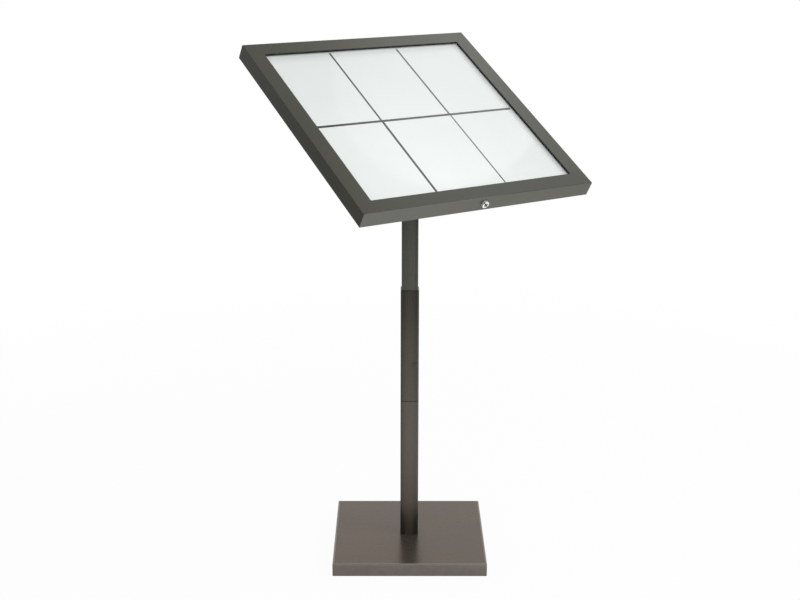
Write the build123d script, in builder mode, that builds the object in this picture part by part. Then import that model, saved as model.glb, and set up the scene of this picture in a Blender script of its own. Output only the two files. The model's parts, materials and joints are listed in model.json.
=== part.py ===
from build123d import *
import os

os.makedirs("parts", exist_ok=True)

# A lit notice case for A4 sheets on a telescopic square post with a weighted base.
# Sizes are in millimetres and angles in degrees. +Z is up, the reader stands at -Y,
# and the origin is on the floor at the middle of the post.

# Sheets on show, lying over a grey divider grid
SHEET_WIDTH = 210.0
SHEET_LENGTH = 297.0
SHEET_THICKNESS = 0.3
COLUMNS = 3
ROWS = 2
COLUMN_GAP = 6.0
ROW_GAP = 8.5
SHEET_SLIP = 1.5            # the near middle sheet lies this far to the right
GRID_WIDTH = 14.0
GRID_THICKNESS = 0.6

# Door frame: mitred profiles with a flat face, a skirt and a chamber for the corner keys
FACE_WIDTH = 44.0
HEAD_DEPTH = 41.0
SIDE_COVER = 10.0           # the frame hides this much of the sheets at left and right
END_COVER = 8.25            # and this much at the near and far edges
DOOR_WALL = 2.0
DOOR_EDGE_RADIUS = 1.2
DOOR_LIP_RADIUS = 0.7
LIP_CLEARANCE = 0.3
KEY_CHAMBER_WIDTH = 12.0
KEY_CHAMBER_HEIGHT = 6.0
KEY_CHAMBER_WALL = 1.5
KEY_LEG = 45.0
KEY_CLEARANCE = 0.2

# Window pane with its gasket above and beads below
PANE_THICKNESS = 3.0
PANE_EDGE = 22.0            # pane's edge, inward from the skirt's outer face
GASKET_THICKNESS = 1.2
GASKET_EDGE = 24.0
GASKET_SETBACK = 3.0        # gasket ends this far behind the lip
BEAD_WALL = 1.5
BEAD_SETBACK = 0.5          # bead's leg, behind the lip
BEAD_LIFT = 0.6             # bead's leg, above the sheets
BEAD_CLEARANCE = 0.2
SHEET_SPACE = 6.1           # from the sheets up to the pane

# Case: flat back panel and four folded side channels
BACK_SHEET = 1.5
CASE_SETBACK = 4.5          # case wall, inward from the skirt's outer face
CASE_WALL = 1.5
CASE_FLANGE = 10.5
CASE_CORNER_RADIUS = 2.0
SEAL_THICKNESS = 3.3
SEAL_WIDTH = 7.0
SEAL_GAP = 0.2              # left to the closed door

# Edge-lit panel: reflector, light guide and diffuser in a frame of channels
PANEL_MARGIN = 4.0
DIFFUSER_THICKNESS = 2.0
GUIDE_THICKNESS = 5.0
REFLECTOR_THICKNESS = 0.5
RAIL_WALL = 1.5
RAIL_COVER = 3.5
RAIL_CLEARANCE = 0.2
LED_SPACE = 4.5
END_SPACE = 1.0
LED_BOARD_THICKNESS = 1.2
LED_BOARD_WIDTH = 4.6
LED_PITCH = 20.0
LED_LENGTH = 3.0
LED_WIDTH = 2.8
LED_HEIGHT = 1.0
SUPPORT_SPREAD = 340.0
SUPPORT_TOP = 30.0
SUPPORT_FLANGE = 15.0
SUPPORT_WALL = 1.5

# Power inlet and the leads to the LED strips
JACK_PLACE = (95.0, -95.0)
JACK_FLANGE_RADIUS = 8.0
JACK_FLANGE_THICKNESS = 2.5
JACK_BODY_RADIUS = 5.5
JACK_BODY_LENGTH = 11.0
JACK_BORE_RADIUS = 2.75
JACK_BORE_DEPTH = 10.0
JACK_PIN_RADIUS = 1.05
JACK_PIN_RECESS = 1.0
JACK_BLOCK = (12.0, 10.0, 5.0)
JACK_CLEARANCE = 0.1
LEAD_RADIUS = 1.0
LEAD_BEND = 4.0
LEAD_CLEARANCE = 0.7
JUMPER_SPACING = 25.0       # second lead, this far nearer to the reader than the inlet

# Hinges along the far edge
HINGE_PLACES = (-240.0, 0.0, 240.0)
HINGE_LENGTH = 60.0
HINGE_RADIUS = 2.5
HINGE_CLEARANCE = 0.3
HINGE_LEAF_THICKNESS = 1.2
HINGE_CASE_LEAF = 22.0
HINGE_DOOR_LEAF = 19.5
HINGE_PIN_RADIUS = 1.25
RUNNING_CLEARANCE = 0.05

# Cam lock in the near side of the door
LOCK_OFFSET = 7.5
LOCK_RIM_RADIUS = 9.5
LOCK_RIM_THICKNESS = 7.5
LOCK_RIM_ROUND = 0.8
SPANNER_SLOT_WIDTH = 3.0
SPANNER_SLOT_DEPTH = 4.5
LOCK_BARREL_RADIUS = 8.0
LOCK_BARREL_LENGTH = 16.0
LOCK_PLUG_RADIUS = 5.5
LOCK_PLUG_RECESS = 0.4
LOCK_NUT_FLATS = 19.0
LOCK_NUT_THICKNESS = 4.0
LOCK_NUT_CLEARANCE = 0.5
KEYWAY_WIDTH = 2.4
KEYWAY_LENGTH = 8.6
KEYWAY_DEPTH = 8.0
KEYWAY_TURN = -44.0
PLUG_END_PLAY = 0.2
CAM_THICKNESS = 2.0
CAM_WIDTH = 7.0
CAM_HUB_RADIUS = 8.0
CAM_SQUARE = 7.0
CAM_FIT = 0.05
CAM_CLEARANCE = 1.5
CAM_SCREW_RADIUS = 2.0
CAM_SCREW_LENGTH = 8.0
CAM_SCREW_HEAD_RADIUS = 4.5
CAM_SCREW_HEAD = 3.0
LOCK_GAP_CLEARANCE = 2.3
KEEPER_LENGTH = 30.0
KEEPER_REACH = 6.0
KEEPER_GAP = 0.3
KEEPER_SIDE_GAP = 0.5

# Tilt knuckle: lug bracket on the case between the ears of a yoke
TILT = 31.0
PIVOT_DROP = 24.0           # tilt axis below the case's back
BRACKET_WIDTH = 140.0
BRACKET_LENGTH = 110.0
BRACKET_PLATE = 4.0
BRACKET_CORNER = 8.0
BRACKET_FILLET = 4.0
LUG_WIDTH = 32.0
LUG_RADIUS = 14.0
BRACKET_SCREW_SPREAD = (110.0, 80.0)
BRACKET_SCREW_RADIUS = 3.0
BRACKET_SCREW_HEAD_RADIUS = 5.25
BRACKET_SCREW_HEAD = 3.3
SCREW_CLEARANCE = 0.2
THREAD_CLEARANCE = 0.05
STIFFENER_THICKNESS = 4.0
STIFFENER_MARGIN = 5.0
EAR_RADIUS = 15.0
EAR_THICKNESS = 6.0
YOKE_BASE = 6.0
YOKE_DEPTH = 40.0
YOKE_CORNER = 5.0
YOKE_FILLET = 3.0
YOKE_RISE = 30.0            # tilt axis above the yoke's base plate
TILT_BOLT_RADIUS = 5.0
TILT_BOLT_FLATS = 17.0
TILT_BOLT_HEAD = 6.4
TILT_NUT_HEIGHT = 8.0
TILT_THREAD_END = 2.0
TILT_WASHER_RADIUS = 13.0
TILT_WASHER_THICKNESS = 1.4
PIVOT_CLEARANCE = 0.1

# Swivel bolt at the top of the mast
SWIVEL_BOLT_RADIUS = 6.0
SWIVEL_BOLT_FLATS = 18.0
SWIVEL_BOLT_HEAD = 7.5
SWIVEL_NUT_HEIGHT = 10.0
SWIVEL_THREAD_END = 3.0
SWIVEL_WASHER_RADIUS = 20.0
SWIVEL_WASHER_THICKNESS = 2.0
MAST_CAP_FLANGE = 5.0
MAST_CAP_PLUG = 25.0

# Post: two butted tubes on an inner sleeve, with the mast sliding in the upper one
BASE_TURN = -34.3           # base and post, turned against the head as photographed
POST_SIDE = 50.0
POST_WALL = 2.0
POST_CORNER = 5.0
POST_END_CHAMFER = 0.6
LOWER_POST_LENGTH = 400.0
UPPER_POST_LENGTH = 316.2
POST_SEAM = 0.8
SLEEVE_HALF = 130.0
SLEEVE_WALL = 3.0
SLEEVE_CLEARANCE = 0.2
SLEEVE_SCREW_INSET = 23.0
SLEEVE_SCREW_OFFSET = 14.0  # to the right of the front face's middle
SLEEVE_SCREW_RADIUS = 3.0
SLEEVE_SCREW_HEAD_RADIUS = 6.0
SLEEVE_SCREW_HEAD = 2.4
SLEEVE_SCREW_ROUND = 1.8
SLEEVE_SCREW_LENGTH = 9.0
SLEEVE_SCREW_SOCKET = 2.0
SLEEVE_SCREW_SOCKET_DEPTH = 1.5
MAST_CLEARANCE = 0.5
MAST_WALL = 2.0
MAST_RAISE = 380.0          # mast tube's top above the post's rim
MAST_DROP = 25.0            # travel down from the height shown
MAST_STOP_GAP = 4.0         # left between the end plug and the sleeve at the lowest height
PLUG_CLEARANCE = 0.2
END_PLUG_RIM = 3.0
END_PLUG_DEPTH = 20.0
POST_PLUG_LENGTH = 25.0

# Height clamp at the back of the upper tube
KNOB_BELOW_RIM = 20.0
STUD_RADIUS = 4.0
STUD_TIP_GAP = 0.3
STUD_GRIP = 12.0
BUSH_RADIUS = 9.0
BUSH_LENGTH = 8.0
KNOB_GAP = 1.0
KNOB_HUB_RADIUS = 9.0
KNOB_HUB_LENGTH = 5.0
KNOB_CORE_RADIUS = 13.0
KNOB_LOBE_RADIUS = 5.0
KNOB_LOBE_CIRCLE = 12.5
KNOB_LOBES = 6
KNOB_THICKNESS = 15.0
KNOB_ROUND = 2.0

# Base: folded cover over a ballast plate
BASE_SIDE = 420.0
BASE_HEIGHT = 38.0
BASE_SHEET = 2.0
BASE_INSIDE_BEND = 0.8
COVER_LIFT = 2.0
BALLAST_THICKNESS = 12.0
BALLAST_CLEARANCE = 2.0
SPACER_SIDE = 100.0
MAT_THICKNESS = 3.0
MAT_INSET = 6.0
MAT_CHAMFER = 0.6
BASE_BOLT_RADIUS = 6.0
BASE_BOLT_FLATS = 18.0
BASE_BOLT_HEAD = 7.5
BASE_BOLT_RECESS = 9.0
BASE_BOLT_RECESS_RADIUS = 13.0
BASE_BOLT_ENGAGEMENT = 20.0
BOLT_HOLE_CLEARANCE = 0.5

# Sizes of the head that follow
FIELD_WIDTH = COLUMNS * SHEET_WIDTH + (COLUMNS - 1) * COLUMN_GAP
FIELD_LENGTH = ROWS * SHEET_LENGTH + (ROWS - 1) * ROW_GAP
HEAD_WIDTH = FIELD_WIDTH - 2 * SIDE_COVER + 2 * FACE_WIDTH
HEAD_LENGTH = FIELD_LENGTH - 2 * END_COVER + 2 * FACE_WIDTH
PANEL_WIDTH = FIELD_WIDTH + 2 * PANEL_MARGIN
PANEL_LENGTH = FIELD_LENGTH + 2 * PANEL_MARGIN
RIB_EDGE = DOOR_WALL + KEY_CHAMBER_WIDTH + KEY_CHAMBER_WALL

# Levels in the head, counted up from the outside of the back panel
FACE_UNDER = HEAD_DEPTH - DOOR_WALL
KEY_FLOOR = FACE_UNDER - KEY_CHAMBER_HEIGHT
WEB_UNDER = KEY_FLOOR - KEY_CHAMBER_WALL
PANE_TOP = FACE_UNDER - GASKET_THICKNESS
PANE_UNDER = PANE_TOP - PANE_THICKNESS
LIP_UNDER = PANE_TOP + LIP_CLEARANCE
BEAD_UNDER = PANE_UNDER - BEAD_WALL
BEAD_FOOT = PANE_UNDER - SHEET_SPACE + BEAD_LIFT
CASE_TOP = WEB_UNDER - SEAL_GAP - SEAL_THICKNESS
SHEET_UNDER = PANE_UNDER - SHEET_SPACE - SHEET_THICKNESS
DIFFUSER_TOP = SHEET_UNDER - GRID_THICKNESS
GUIDE_TOP = DIFFUSER_TOP - DIFFUSER_THICKNESS
GUIDE_UNDER = GUIDE_TOP - GUIDE_THICKNESS
REFLECTOR_UNDER = GUIDE_UNDER - REFLECTOR_THICKNESS
RAIL_UNDER = REFLECTOR_UNDER - RAIL_WALL
RAIL_TOP = DIFFUSER_TOP + RAIL_CLEARANCE + RAIL_WALL
LOCK_HEIGHT = WEB_UNDER - LOCK_NUT_FLATS / 2 - LOCK_NUT_CLEARANCE

# Heights above the floor that follow
SEAM_HEIGHT = BASE_HEIGHT + LOWER_POST_LENGTH
UPPER_POST_FOOT = SEAM_HEIGHT + POST_SEAM
POST_RIM = UPPER_POST_FOOT + UPPER_POST_LENGTH
MAST_FOOT = SEAM_HEIGHT + SLEEVE_HALF + MAST_STOP_GAP + MAST_DROP + END_PLUG_RIM
MAST_TOP = POST_RIM + MAST_RAISE
SWIVEL_SEAT = MAST_TOP + MAST_CAP_FLANGE
YOKE_UNDER = SWIVEL_SEAT + SWIVEL_WASHER_THICKNESS + PIVOT_CLEARANCE
TILT_HEIGHT = YOKE_UNDER + YOKE_BASE + YOKE_RISE
SPACER_FOOT = MAT_THICKNESS + BALLAST_THICKNESS
COVER_UNDER = BASE_HEIGHT - BASE_SHEET

# Tube sections that follow
POST_INSIDE = POST_SIDE - 2 * POST_WALL
POST_INSIDE_CORNER = POST_CORNER - POST_WALL
MAST_SIDE = POST_INSIDE - 2 * MAST_CLEARANCE
MAST_CORNER = POST_INSIDE_CORNER + MAST_CLEARANCE
MAST_INSIDE = MAST_SIDE - 2 * MAST_WALL
SLEEVE_SIDE = POST_INSIDE - 2 * SLEEVE_CLEARANCE

# The post's own directions, and the tilted head with its origin on the back panel
POST = Plane.XY.rotated((0, 0, BASE_TURN))
TILT_FRAME = Plane(origin=(0, 0, TILT_HEIGHT)).rotated((TILT, 0, 0))
HEAD = TILT_FRAME.offset(PIVOT_DROP)
LOCK_POINT = HEAD.from_local_coords((LOCK_OFFSET, -HEAD_LENGTH / 2, LOCK_HEIGHT))
LOCK = Plane(origin=LOCK_POINT, x_dir=-HEAD.x_dir, z_dir=HEAD.y_dir)
SCREW_POINT = POST.from_local_coords((SLEEVE_SCREW_OFFSET, -POST_SIDE / 2,
                                      SEAM_HEIGHT + SLEEVE_HALF - SLEEVE_SCREW_INSET))
SLEEVE_SCREW = Plane(origin=SCREW_POINT, z_dir=-POST.y_dir)
CLAMP_POINT = POST.from_local_coords((0, POST_SIDE / 2, POST_RIM - KNOB_BELOW_RIM))
CLAMP = Plane(origin=CLAMP_POINT, z_dir=POST.y_dir)


def save(piece, name):
    """Label a finished piece and write it to its own file."""
    piece.part.label = name
    export_step(piece.part, f"parts/{name}.step")


def flat_plate(plane, width, length, thickness, corner=0.0, holes=(), hole_radius=0.0):
    """A flat sheet on a plane, with rounded corners and round holes where asked for."""
    with BuildPart() as plate:
        with BuildSketch(plane):
            if corner:
                RectangleRounded(width, length, corner)
            else:
                Rectangle(width, length)
            if holes:
                with Locations(*holes):
                    Circle(hole_radius, mode=Mode.SUBTRACT)
        extrude(amount=thickness)
    return plate


def flat_ring(plane, width, length, band, thickness):
    """A flat rectangular ring, measured over its outside."""
    with BuildPart() as ring:
        with BuildSketch(plane):
            Rectangle(width, length)
            Rectangle(width - 2 * band, length - 2 * band, mode=Mode.SUBTRACT)
        extrude(amount=thickness)
    return ring


def square_tube(plane, side, wall, corner, length):
    """A square tube with rounded corners, standing on a plane."""
    with BuildPart() as tube:
        with BuildSketch(plane):
            RectangleRounded(side, side, corner)
            RectangleRounded(side - 2 * wall, side - 2 * wall, corner - wall, mode=Mode.SUBTRACT)
        extrude(amount=length)
    return tube


def hex_bolt(plane, radius, length, flats, head):
    """A bolt whose head stands on the plane, with its shank going down from it."""
    with BuildPart() as bolt:
        with BuildSketch(plane):
            RegularPolygon(flats / 2, 6, major_radius=False)
        extrude(amount=head)
        with BuildSketch(plane):
            Circle(radius)
        extrude(amount=-length)
    return bolt


def hex_nut(plane, bore, flats, height):
    """A nut standing on the plane."""
    with BuildPart() as nut:
        with BuildSketch(plane):
            RegularPolygon(flats / 2, 6, major_radius=False)
            Circle(bore, mode=Mode.SUBTRACT)
        extrude(amount=height)
    return nut


def head_turned(angle):
    """The head's plane, turned in itself so that one of its sides runs along X with the middle at +Y."""
    return Plane(origin=HEAD.origin, x_dir=HEAD.x_dir.rotate(Axis((0, 0, 0), HEAD.z_dir), angle),
                 z_dir=HEAD.z_dir)


def mitred_rail(angle, outline, chamber=(), rounds=()):
    """A profile along one side of the head, cut at 45 degrees at both ends.

    Points of the outline are (inward from the skirt's outer face, up from the back panel).
    chamber holds two opposite corners of a hollow, and rounds pairs of an outline point and a radius.
    """
    across = angle % 180 == 0
    length = HEAD_WIDTH if across else HEAD_LENGTH
    reach = HEAD_LENGTH / 2 if across else HEAD_WIDTH / 2
    side = head_turned(angle)
    middle = side.from_local_coords((0, -reach, 0))
    with BuildPart() as rail:
        with BuildSketch(Plane(origin=middle, x_dir=side.y_dir, z_dir=side.x_dir)) as section:
            with BuildLine():
                Polyline(*outline, close=True)
            make_face()
            for point, radius in rounds:
                fillet(section.vertices().sort_by_distance(point)[0], radius)
            if chamber:
                (left, low), (right, high) = chamber
                with Locations(((left + right) / 2, (low + high) / 2)):
                    Rectangle(right - left, high - low, mode=Mode.SUBTRACT)
        extrude(amount=length / 2, both=True)
        for end in (-1, 1):
            corner = side.from_local_coords((end * length / 2, -reach, 0))
            split(bisect_by=Plane(origin=corner, z_dir=side.x_dir * end + side.y_dir), keep=Keep.BOTTOM)
    return rail


def channel_rail(angle, reach, length, depth):
    """A channel that holds one edge of the light panel, open towards the panel's middle."""
    side = head_turned(angle)
    middle = side.from_local_coords((0, -reach, 0))
    with BuildPart() as rail:
        with BuildSketch(Plane(origin=middle, x_dir=side.y_dir, z_dir=side.x_dir)):
            with Locations((depth / 2, (RAIL_UNDER + RAIL_TOP) / 2)):
                Rectangle(depth, RAIL_TOP - RAIL_UNDER)
            with Locations((RAIL_WALL + depth / 2, (RAIL_UNDER + RAIL_TOP) / 2)):
                Rectangle(depth, RAIL_TOP - RAIL_UNDER - 2 * RAIL_WALL, mode=Mode.SUBTRACT)
        extrude(amount=length / 2, both=True)
    return rail


def joined(*pieces):
    """Like pieces kept as separate solids in one group."""
    with BuildPart() as group:
        for piece in pieces:
            add(piece.part)
    return group


# Base
base_corner = BASE_SHEET + BASE_INSIDE_BEND
with BuildPart() as base_cover:
    with BuildSketch(POST.offset(COVER_LIFT)):
        RectangleRounded(BASE_SIDE, BASE_SIDE, base_corner)
    extrude(amount=BASE_HEIGHT - COVER_LIFT)
    fillet(base_cover.faces().sort_by(Axis.Z)[-1].edges(), base_corner)
    offset(amount=-BASE_SHEET, openings=base_cover.faces().sort_by(Axis.Z)[0])
    with BuildSketch(POST.offset(BASE_HEIGHT)):
        Circle(BASE_BOLT_RADIUS + BOLT_HOLE_CLEARANCE)
    extrude(amount=-2 * BASE_SHEET, mode=Mode.SUBTRACT)
save(base_cover, "base_cover")

ballast_side = BASE_SIDE - 2 * (BASE_SHEET + BALLAST_CLEARANCE)
with BuildPart() as ballast_plate:
    with BuildSketch(POST.offset(MAT_THICKNESS)):
        Rectangle(ballast_side, ballast_side)
        Circle(BASE_BOLT_RADIUS + BOLT_HOLE_CLEARANCE, mode=Mode.SUBTRACT)
    extrude(amount=BALLAST_THICKNESS)
    with BuildSketch(POST.offset(MAT_THICKNESS)):
        Circle(BASE_BOLT_RECESS_RADIUS)
    extrude(amount=BASE_BOLT_RECESS, mode=Mode.SUBTRACT)
save(ballast_plate, "ballast_plate")

bolt_axis = ((0, 0),)
base_spacer = flat_plate(POST.offset(SPACER_FOOT), SPACER_SIDE, SPACER_SIDE, COVER_UNDER - SPACER_FOOT,
                         holes=bolt_axis, hole_radius=BASE_BOLT_RADIUS + BOLT_HOLE_CLEARANCE)
save(base_spacer, "base_spacer")

mat_side = ballast_side - 2 * MAT_INSET
with BuildPart() as base_mat:
    add(flat_plate(POST, mat_side, mat_side, MAT_THICKNESS, holes=bolt_axis,
                   hole_radius=BASE_BOLT_RECESS_RADIUS).part)
    chamfer(base_mat.faces().sort_by(Axis.Z)[0].outer_wire().edges(), MAT_CHAMFER)
save(base_mat, "base_mat")

base_bolt_seat = MAT_THICKNESS + BASE_BOLT_RECESS
base_bolt = hex_bolt(Plane(origin=(0, 0, base_bolt_seat), z_dir=(0, 0, -1)), BASE_BOLT_RADIUS,
                     BASE_HEIGHT + BASE_BOLT_ENGAGEMENT - base_bolt_seat, BASE_BOLT_FLATS, BASE_BOLT_HEAD)
save(base_bolt, "base_bolt")

# Post
with BuildPart() as lower_post:
    add(square_tube(POST.offset(BASE_HEIGHT), POST_SIDE, POST_WALL, POST_CORNER, LOWER_POST_LENGTH).part)
    chamfer(lower_post.faces().sort_by(Axis.Z)[-1].outer_wire().edges(), POST_END_CHAMFER)
save(lower_post, "lower_post")

post_plug_side = POST_INSIDE - 2 * PLUG_CLEARANCE
post_plug = flat_plate(POST.offset(BASE_HEIGHT), post_plug_side, post_plug_side, POST_PLUG_LENGTH,
                       corner=POST_INSIDE_CORNER, holes=bolt_axis,
                       hole_radius=BASE_BOLT_RADIUS + THREAD_CLEARANCE)
save(post_plug, "post_plug")

with BuildPart() as post_sleeve:
    add(square_tube(POST.offset(SEAM_HEIGHT - SLEEVE_HALF), SLEEVE_SIDE, SLEEVE_WALL,
                    POST_INSIDE_CORNER + SLEEVE_WALL / 2, 2 * SLEEVE_HALF).part)
    with BuildSketch(SLEEVE_SCREW):
        Circle(SLEEVE_SCREW_RADIUS + THREAD_CLEARANCE)
    extrude(amount=-POST_SIDE / 2, mode=Mode.SUBTRACT)
save(post_sleeve, "post_sleeve")

with BuildPart() as upper_post:
    add(square_tube(POST.offset(UPPER_POST_FOOT), POST_SIDE, POST_WALL, POST_CORNER, UPPER_POST_LENGTH).part)
    for end_face in (upper_post.faces().sort_by(Axis.Z)[0], upper_post.faces().sort_by(Axis.Z)[-1]):
        chamfer(end_face.outer_wire().edges(), POST_END_CHAMFER)
    with BuildSketch(SLEEVE_SCREW):
        Circle(SLEEVE_SCREW_RADIUS + SCREW_CLEARANCE)
    extrude(amount=-POST_SIDE / 2, mode=Mode.SUBTRACT)
    with BuildSketch(CLAMP):
        Circle(STUD_RADIUS + SCREW_CLEARANCE)
    extrude(amount=-POST_SIDE / 2, mode=Mode.SUBTRACT)
save(upper_post, "upper_post")

with BuildPart() as sleeve_screw:
    with BuildSketch(SLEEVE_SCREW):
        Circle(SLEEVE_SCREW_HEAD_RADIUS)
    extrude(amount=SLEEVE_SCREW_HEAD)
    screw_face = sleeve_screw.faces().sort_by(Axis(SLEEVE_SCREW.origin, SLEEVE_SCREW.z_dir))[-1]
    fillet(screw_face.edges(), SLEEVE_SCREW_ROUND)
    with BuildSketch(SLEEVE_SCREW):
        Circle(SLEEVE_SCREW_RADIUS)
    extrude(amount=-SLEEVE_SCREW_LENGTH)
    with BuildSketch(SLEEVE_SCREW.offset(SLEEVE_SCREW_HEAD)):
        RegularPolygon(SLEEVE_SCREW_SOCKET, 6, major_radius=False)
    extrude(amount=-SLEEVE_SCREW_SOCKET_DEPTH, mode=Mode.SUBTRACT)
save(sleeve_screw, "sleeve_screw")

# Height clamp
with BuildPart() as clamp_bush:
    with BuildSketch(CLAMP):
        Circle(BUSH_RADIUS)
        Circle(STUD_RADIUS + RUNNING_CLEARANCE, mode=Mode.SUBTRACT)
    extrude(amount=BUSH_LENGTH)
save(clamp_bush, "clamp_bush")

stud_reach = POST_WALL + MAST_CLEARANCE - STUD_TIP_GAP
knob_seat = BUSH_LENGTH + KNOB_GAP
with BuildPart() as clamp_stud:
    with BuildSketch(CLAMP.offset(-stud_reach)):
        Circle(STUD_RADIUS)
    extrude(amount=stud_reach + knob_seat + STUD_GRIP)
save(clamp_stud, "clamp_stud")

with BuildPart() as clamp_knob:
    with BuildSketch(CLAMP.offset(knob_seat)):
        Circle(KNOB_HUB_RADIUS)
    extrude(amount=KNOB_HUB_LENGTH)
    with BuildSketch(CLAMP.offset(knob_seat + KNOB_HUB_LENGTH)):
        Circle(KNOB_CORE_RADIUS)
        with PolarLocations(KNOB_LOBE_CIRCLE, KNOB_LOBES):
            Circle(KNOB_LOBE_RADIUS)
    extrude(amount=KNOB_THICKNESS)
    outer_face = clamp_knob.faces().sort_by(Axis(CLAMP.origin, CLAMP.z_dir))[-1]
    fillet(outer_face.edges(), KNOB_ROUND)
    with BuildSketch(CLAMP.offset(knob_seat)):
        Circle(STUD_RADIUS + THREAD_CLEARANCE)
    extrude(amount=STUD_GRIP, mode=Mode.SUBTRACT)
save(clamp_knob, "clamp_knob")

# Mast
mast_tube = square_tube(POST.offset(MAST_FOOT), MAST_SIDE, MAST_WALL, MAST_CORNER, MAST_TOP - MAST_FOOT)
save(mast_tube, "mast_tube")

mast_plug_side = MAST_INSIDE - 2 * PLUG_CLEARANCE
mast_plug_corner = MAST_CORNER - MAST_WALL
with BuildPart() as mast_end_plug:
    with BuildSketch(POST.offset(MAST_FOOT)):
        RectangleRounded(MAST_SIDE, MAST_SIDE, MAST_CORNER)
    extrude(amount=-END_PLUG_RIM)
    with BuildSketch(POST.offset(MAST_FOOT)):
        RectangleRounded(mast_plug_side, mast_plug_side, mast_plug_corner)
    extrude(amount=END_PLUG_DEPTH)
save(mast_end_plug, "mast_end_plug")

with BuildPart() as mast_cap:
    with BuildSketch(POST.offset(MAST_TOP)):
        RectangleRounded(MAST_SIDE, MAST_SIDE, MAST_CORNER)
    extrude(amount=MAST_CAP_FLANGE)
    with BuildSketch(POST.offset(MAST_TOP)):
        RectangleRounded(mast_plug_side, mast_plug_side, mast_plug_corner)
    extrude(amount=-MAST_CAP_PLUG)
    with BuildSketch(POST.offset(SWIVEL_SEAT)):
        Circle(SWIVEL_BOLT_RADIUS + PIVOT_CLEARANCE)
    extrude(amount=-MAST_CAP_FLANGE - MAST_CAP_PLUG, mode=Mode.SUBTRACT)
save(mast_cap, "mast_cap")

with BuildPart() as swivel_washer:
    with BuildSketch(POST.offset(SWIVEL_SEAT)):
        Circle(SWIVEL_WASHER_RADIUS)
        Circle(SWIVEL_BOLT_RADIUS + PIVOT_CLEARANCE, mode=Mode.SUBTRACT)
    extrude(amount=SWIVEL_WASHER_THICKNESS)
save(swivel_washer, "swivel_washer")

swivel_bolt_seat = YOKE_UNDER + YOKE_BASE + PIVOT_CLEARANCE
swivel_nut_foot = MAST_TOP - MAST_CAP_PLUG - SWIVEL_NUT_HEIGHT
swivel_bolt = hex_bolt(POST.offset(swivel_bolt_seat), SWIVEL_BOLT_RADIUS,
                       swivel_bolt_seat - swivel_nut_foot + SWIVEL_THREAD_END,
                       SWIVEL_BOLT_FLATS, SWIVEL_BOLT_HEAD)
save(swivel_bolt, "swivel_bolt")
swivel_nut = hex_nut(POST.offset(swivel_nut_foot), SWIVEL_BOLT_RADIUS + THREAD_CLEARANCE,
                     SWIVEL_BOLT_FLATS, SWIVEL_NUT_HEIGHT)
save(swivel_nut, "swivel_nut")

# Yoke and its tilt bolt
ear_inside = LUG_WIDTH / 2 + TILT_WASHER_THICKNESS + PIVOT_CLEARANCE
ear_outside = ear_inside + EAR_THICKNESS
with BuildPart() as swivel_yoke:
    with BuildSketch(Plane.XY.offset(YOKE_UNDER)):
        RectangleRounded(2 * ear_outside, YOKE_DEPTH, YOKE_CORNER)
        Circle(SWIVEL_BOLT_RADIUS + PIVOT_CLEARANCE, mode=Mode.SUBTRACT)
    extrude(amount=YOKE_BASE)
    for ear_start in (-ear_outside, ear_inside):
        with BuildSketch(Plane(origin=(ear_start, 0, TILT_HEIGHT), x_dir=(0, 1, 0), z_dir=(1, 0, 0))):
            Circle(EAR_RADIUS)
            with Locations((0, -YOKE_RISE / 2)):
                Rectangle(2 * EAR_RADIUS, YOKE_RISE)
            Circle(TILT_BOLT_RADIUS + PIVOT_CLEARANCE, mode=Mode.SUBTRACT)
        extrude(amount=EAR_THICKNESS)
    for ear_face in (-ear_inside, ear_inside):
        ear_root = swivel_yoke.edges().sort_by_distance((ear_face, 0, YOKE_UNDER + YOKE_BASE))[0]
        fillet(ear_root, YOKE_FILLET)
save(swivel_yoke, "swivel_yoke")

tilt_bolt = hex_bolt(Plane(origin=(ear_outside, 0, TILT_HEIGHT), z_dir=(1, 0, 0)), TILT_BOLT_RADIUS,
                     2 * ear_outside + TILT_NUT_HEIGHT + TILT_THREAD_END, TILT_BOLT_FLATS, TILT_BOLT_HEAD)
save(tilt_bolt, "tilt_bolt")
tilt_nut = hex_nut(Plane(origin=(-ear_outside, 0, TILT_HEIGHT), z_dir=(-1, 0, 0)),
                   TILT_BOLT_RADIUS + THREAD_CLEARANCE, TILT_BOLT_FLATS, TILT_NUT_HEIGHT)
save(tilt_nut, "tilt_nut")

with BuildPart() as tilt_washers:
    for washer_start in (-ear_inside, ear_inside - TILT_WASHER_THICKNESS):
        with BuildSketch(Plane(origin=(washer_start, 0, TILT_HEIGHT), z_dir=(1, 0, 0))):
            Circle(TILT_WASHER_RADIUS)
            Circle(TILT_BOLT_RADIUS + PIVOT_CLEARANCE, mode=Mode.SUBTRACT)
        extrude(amount=TILT_WASHER_THICKNESS)
save(tilt_washers, "tilt_washers")

# Bracket on the case
lug_side = Plane(origin=HEAD.from_local_coords((-LUG_WIDTH / 2, 0, 0)), x_dir=HEAD.y_dir, z_dir=HEAD.x_dir)
with BuildPart() as head_bracket:
    with BuildSketch(HEAD):
        RectangleRounded(BRACKET_WIDTH, BRACKET_LENGTH, BRACKET_CORNER)
        with GridLocations(*BRACKET_SCREW_SPREAD, 2, 2):
            Circle(BRACKET_SCREW_RADIUS + SCREW_CLEARANCE, mode=Mode.SUBTRACT)
    extrude(amount=-BRACKET_PLATE)
    with BuildSketch(lug_side):
        with Locations((0, -PIVOT_DROP)):
            Circle(LUG_RADIUS)
        with Locations((0, -PIVOT_DROP / 2)):
            Rectangle(2 * LUG_RADIUS, PIVOT_DROP)
        with Locations((0, -PIVOT_DROP)):
            Circle(TILT_BOLT_RADIUS + PIVOT_CLEARANCE, mode=Mode.SUBTRACT)
    extrude(amount=LUG_WIDTH)
    lug_root = head_bracket.edges().sort_by_distance(HEAD.from_local_coords((0, 0, -BRACKET_PLATE)))[:4]
    fillet(lug_root, BRACKET_FILLET)
save(head_bracket, "head_bracket")

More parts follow.
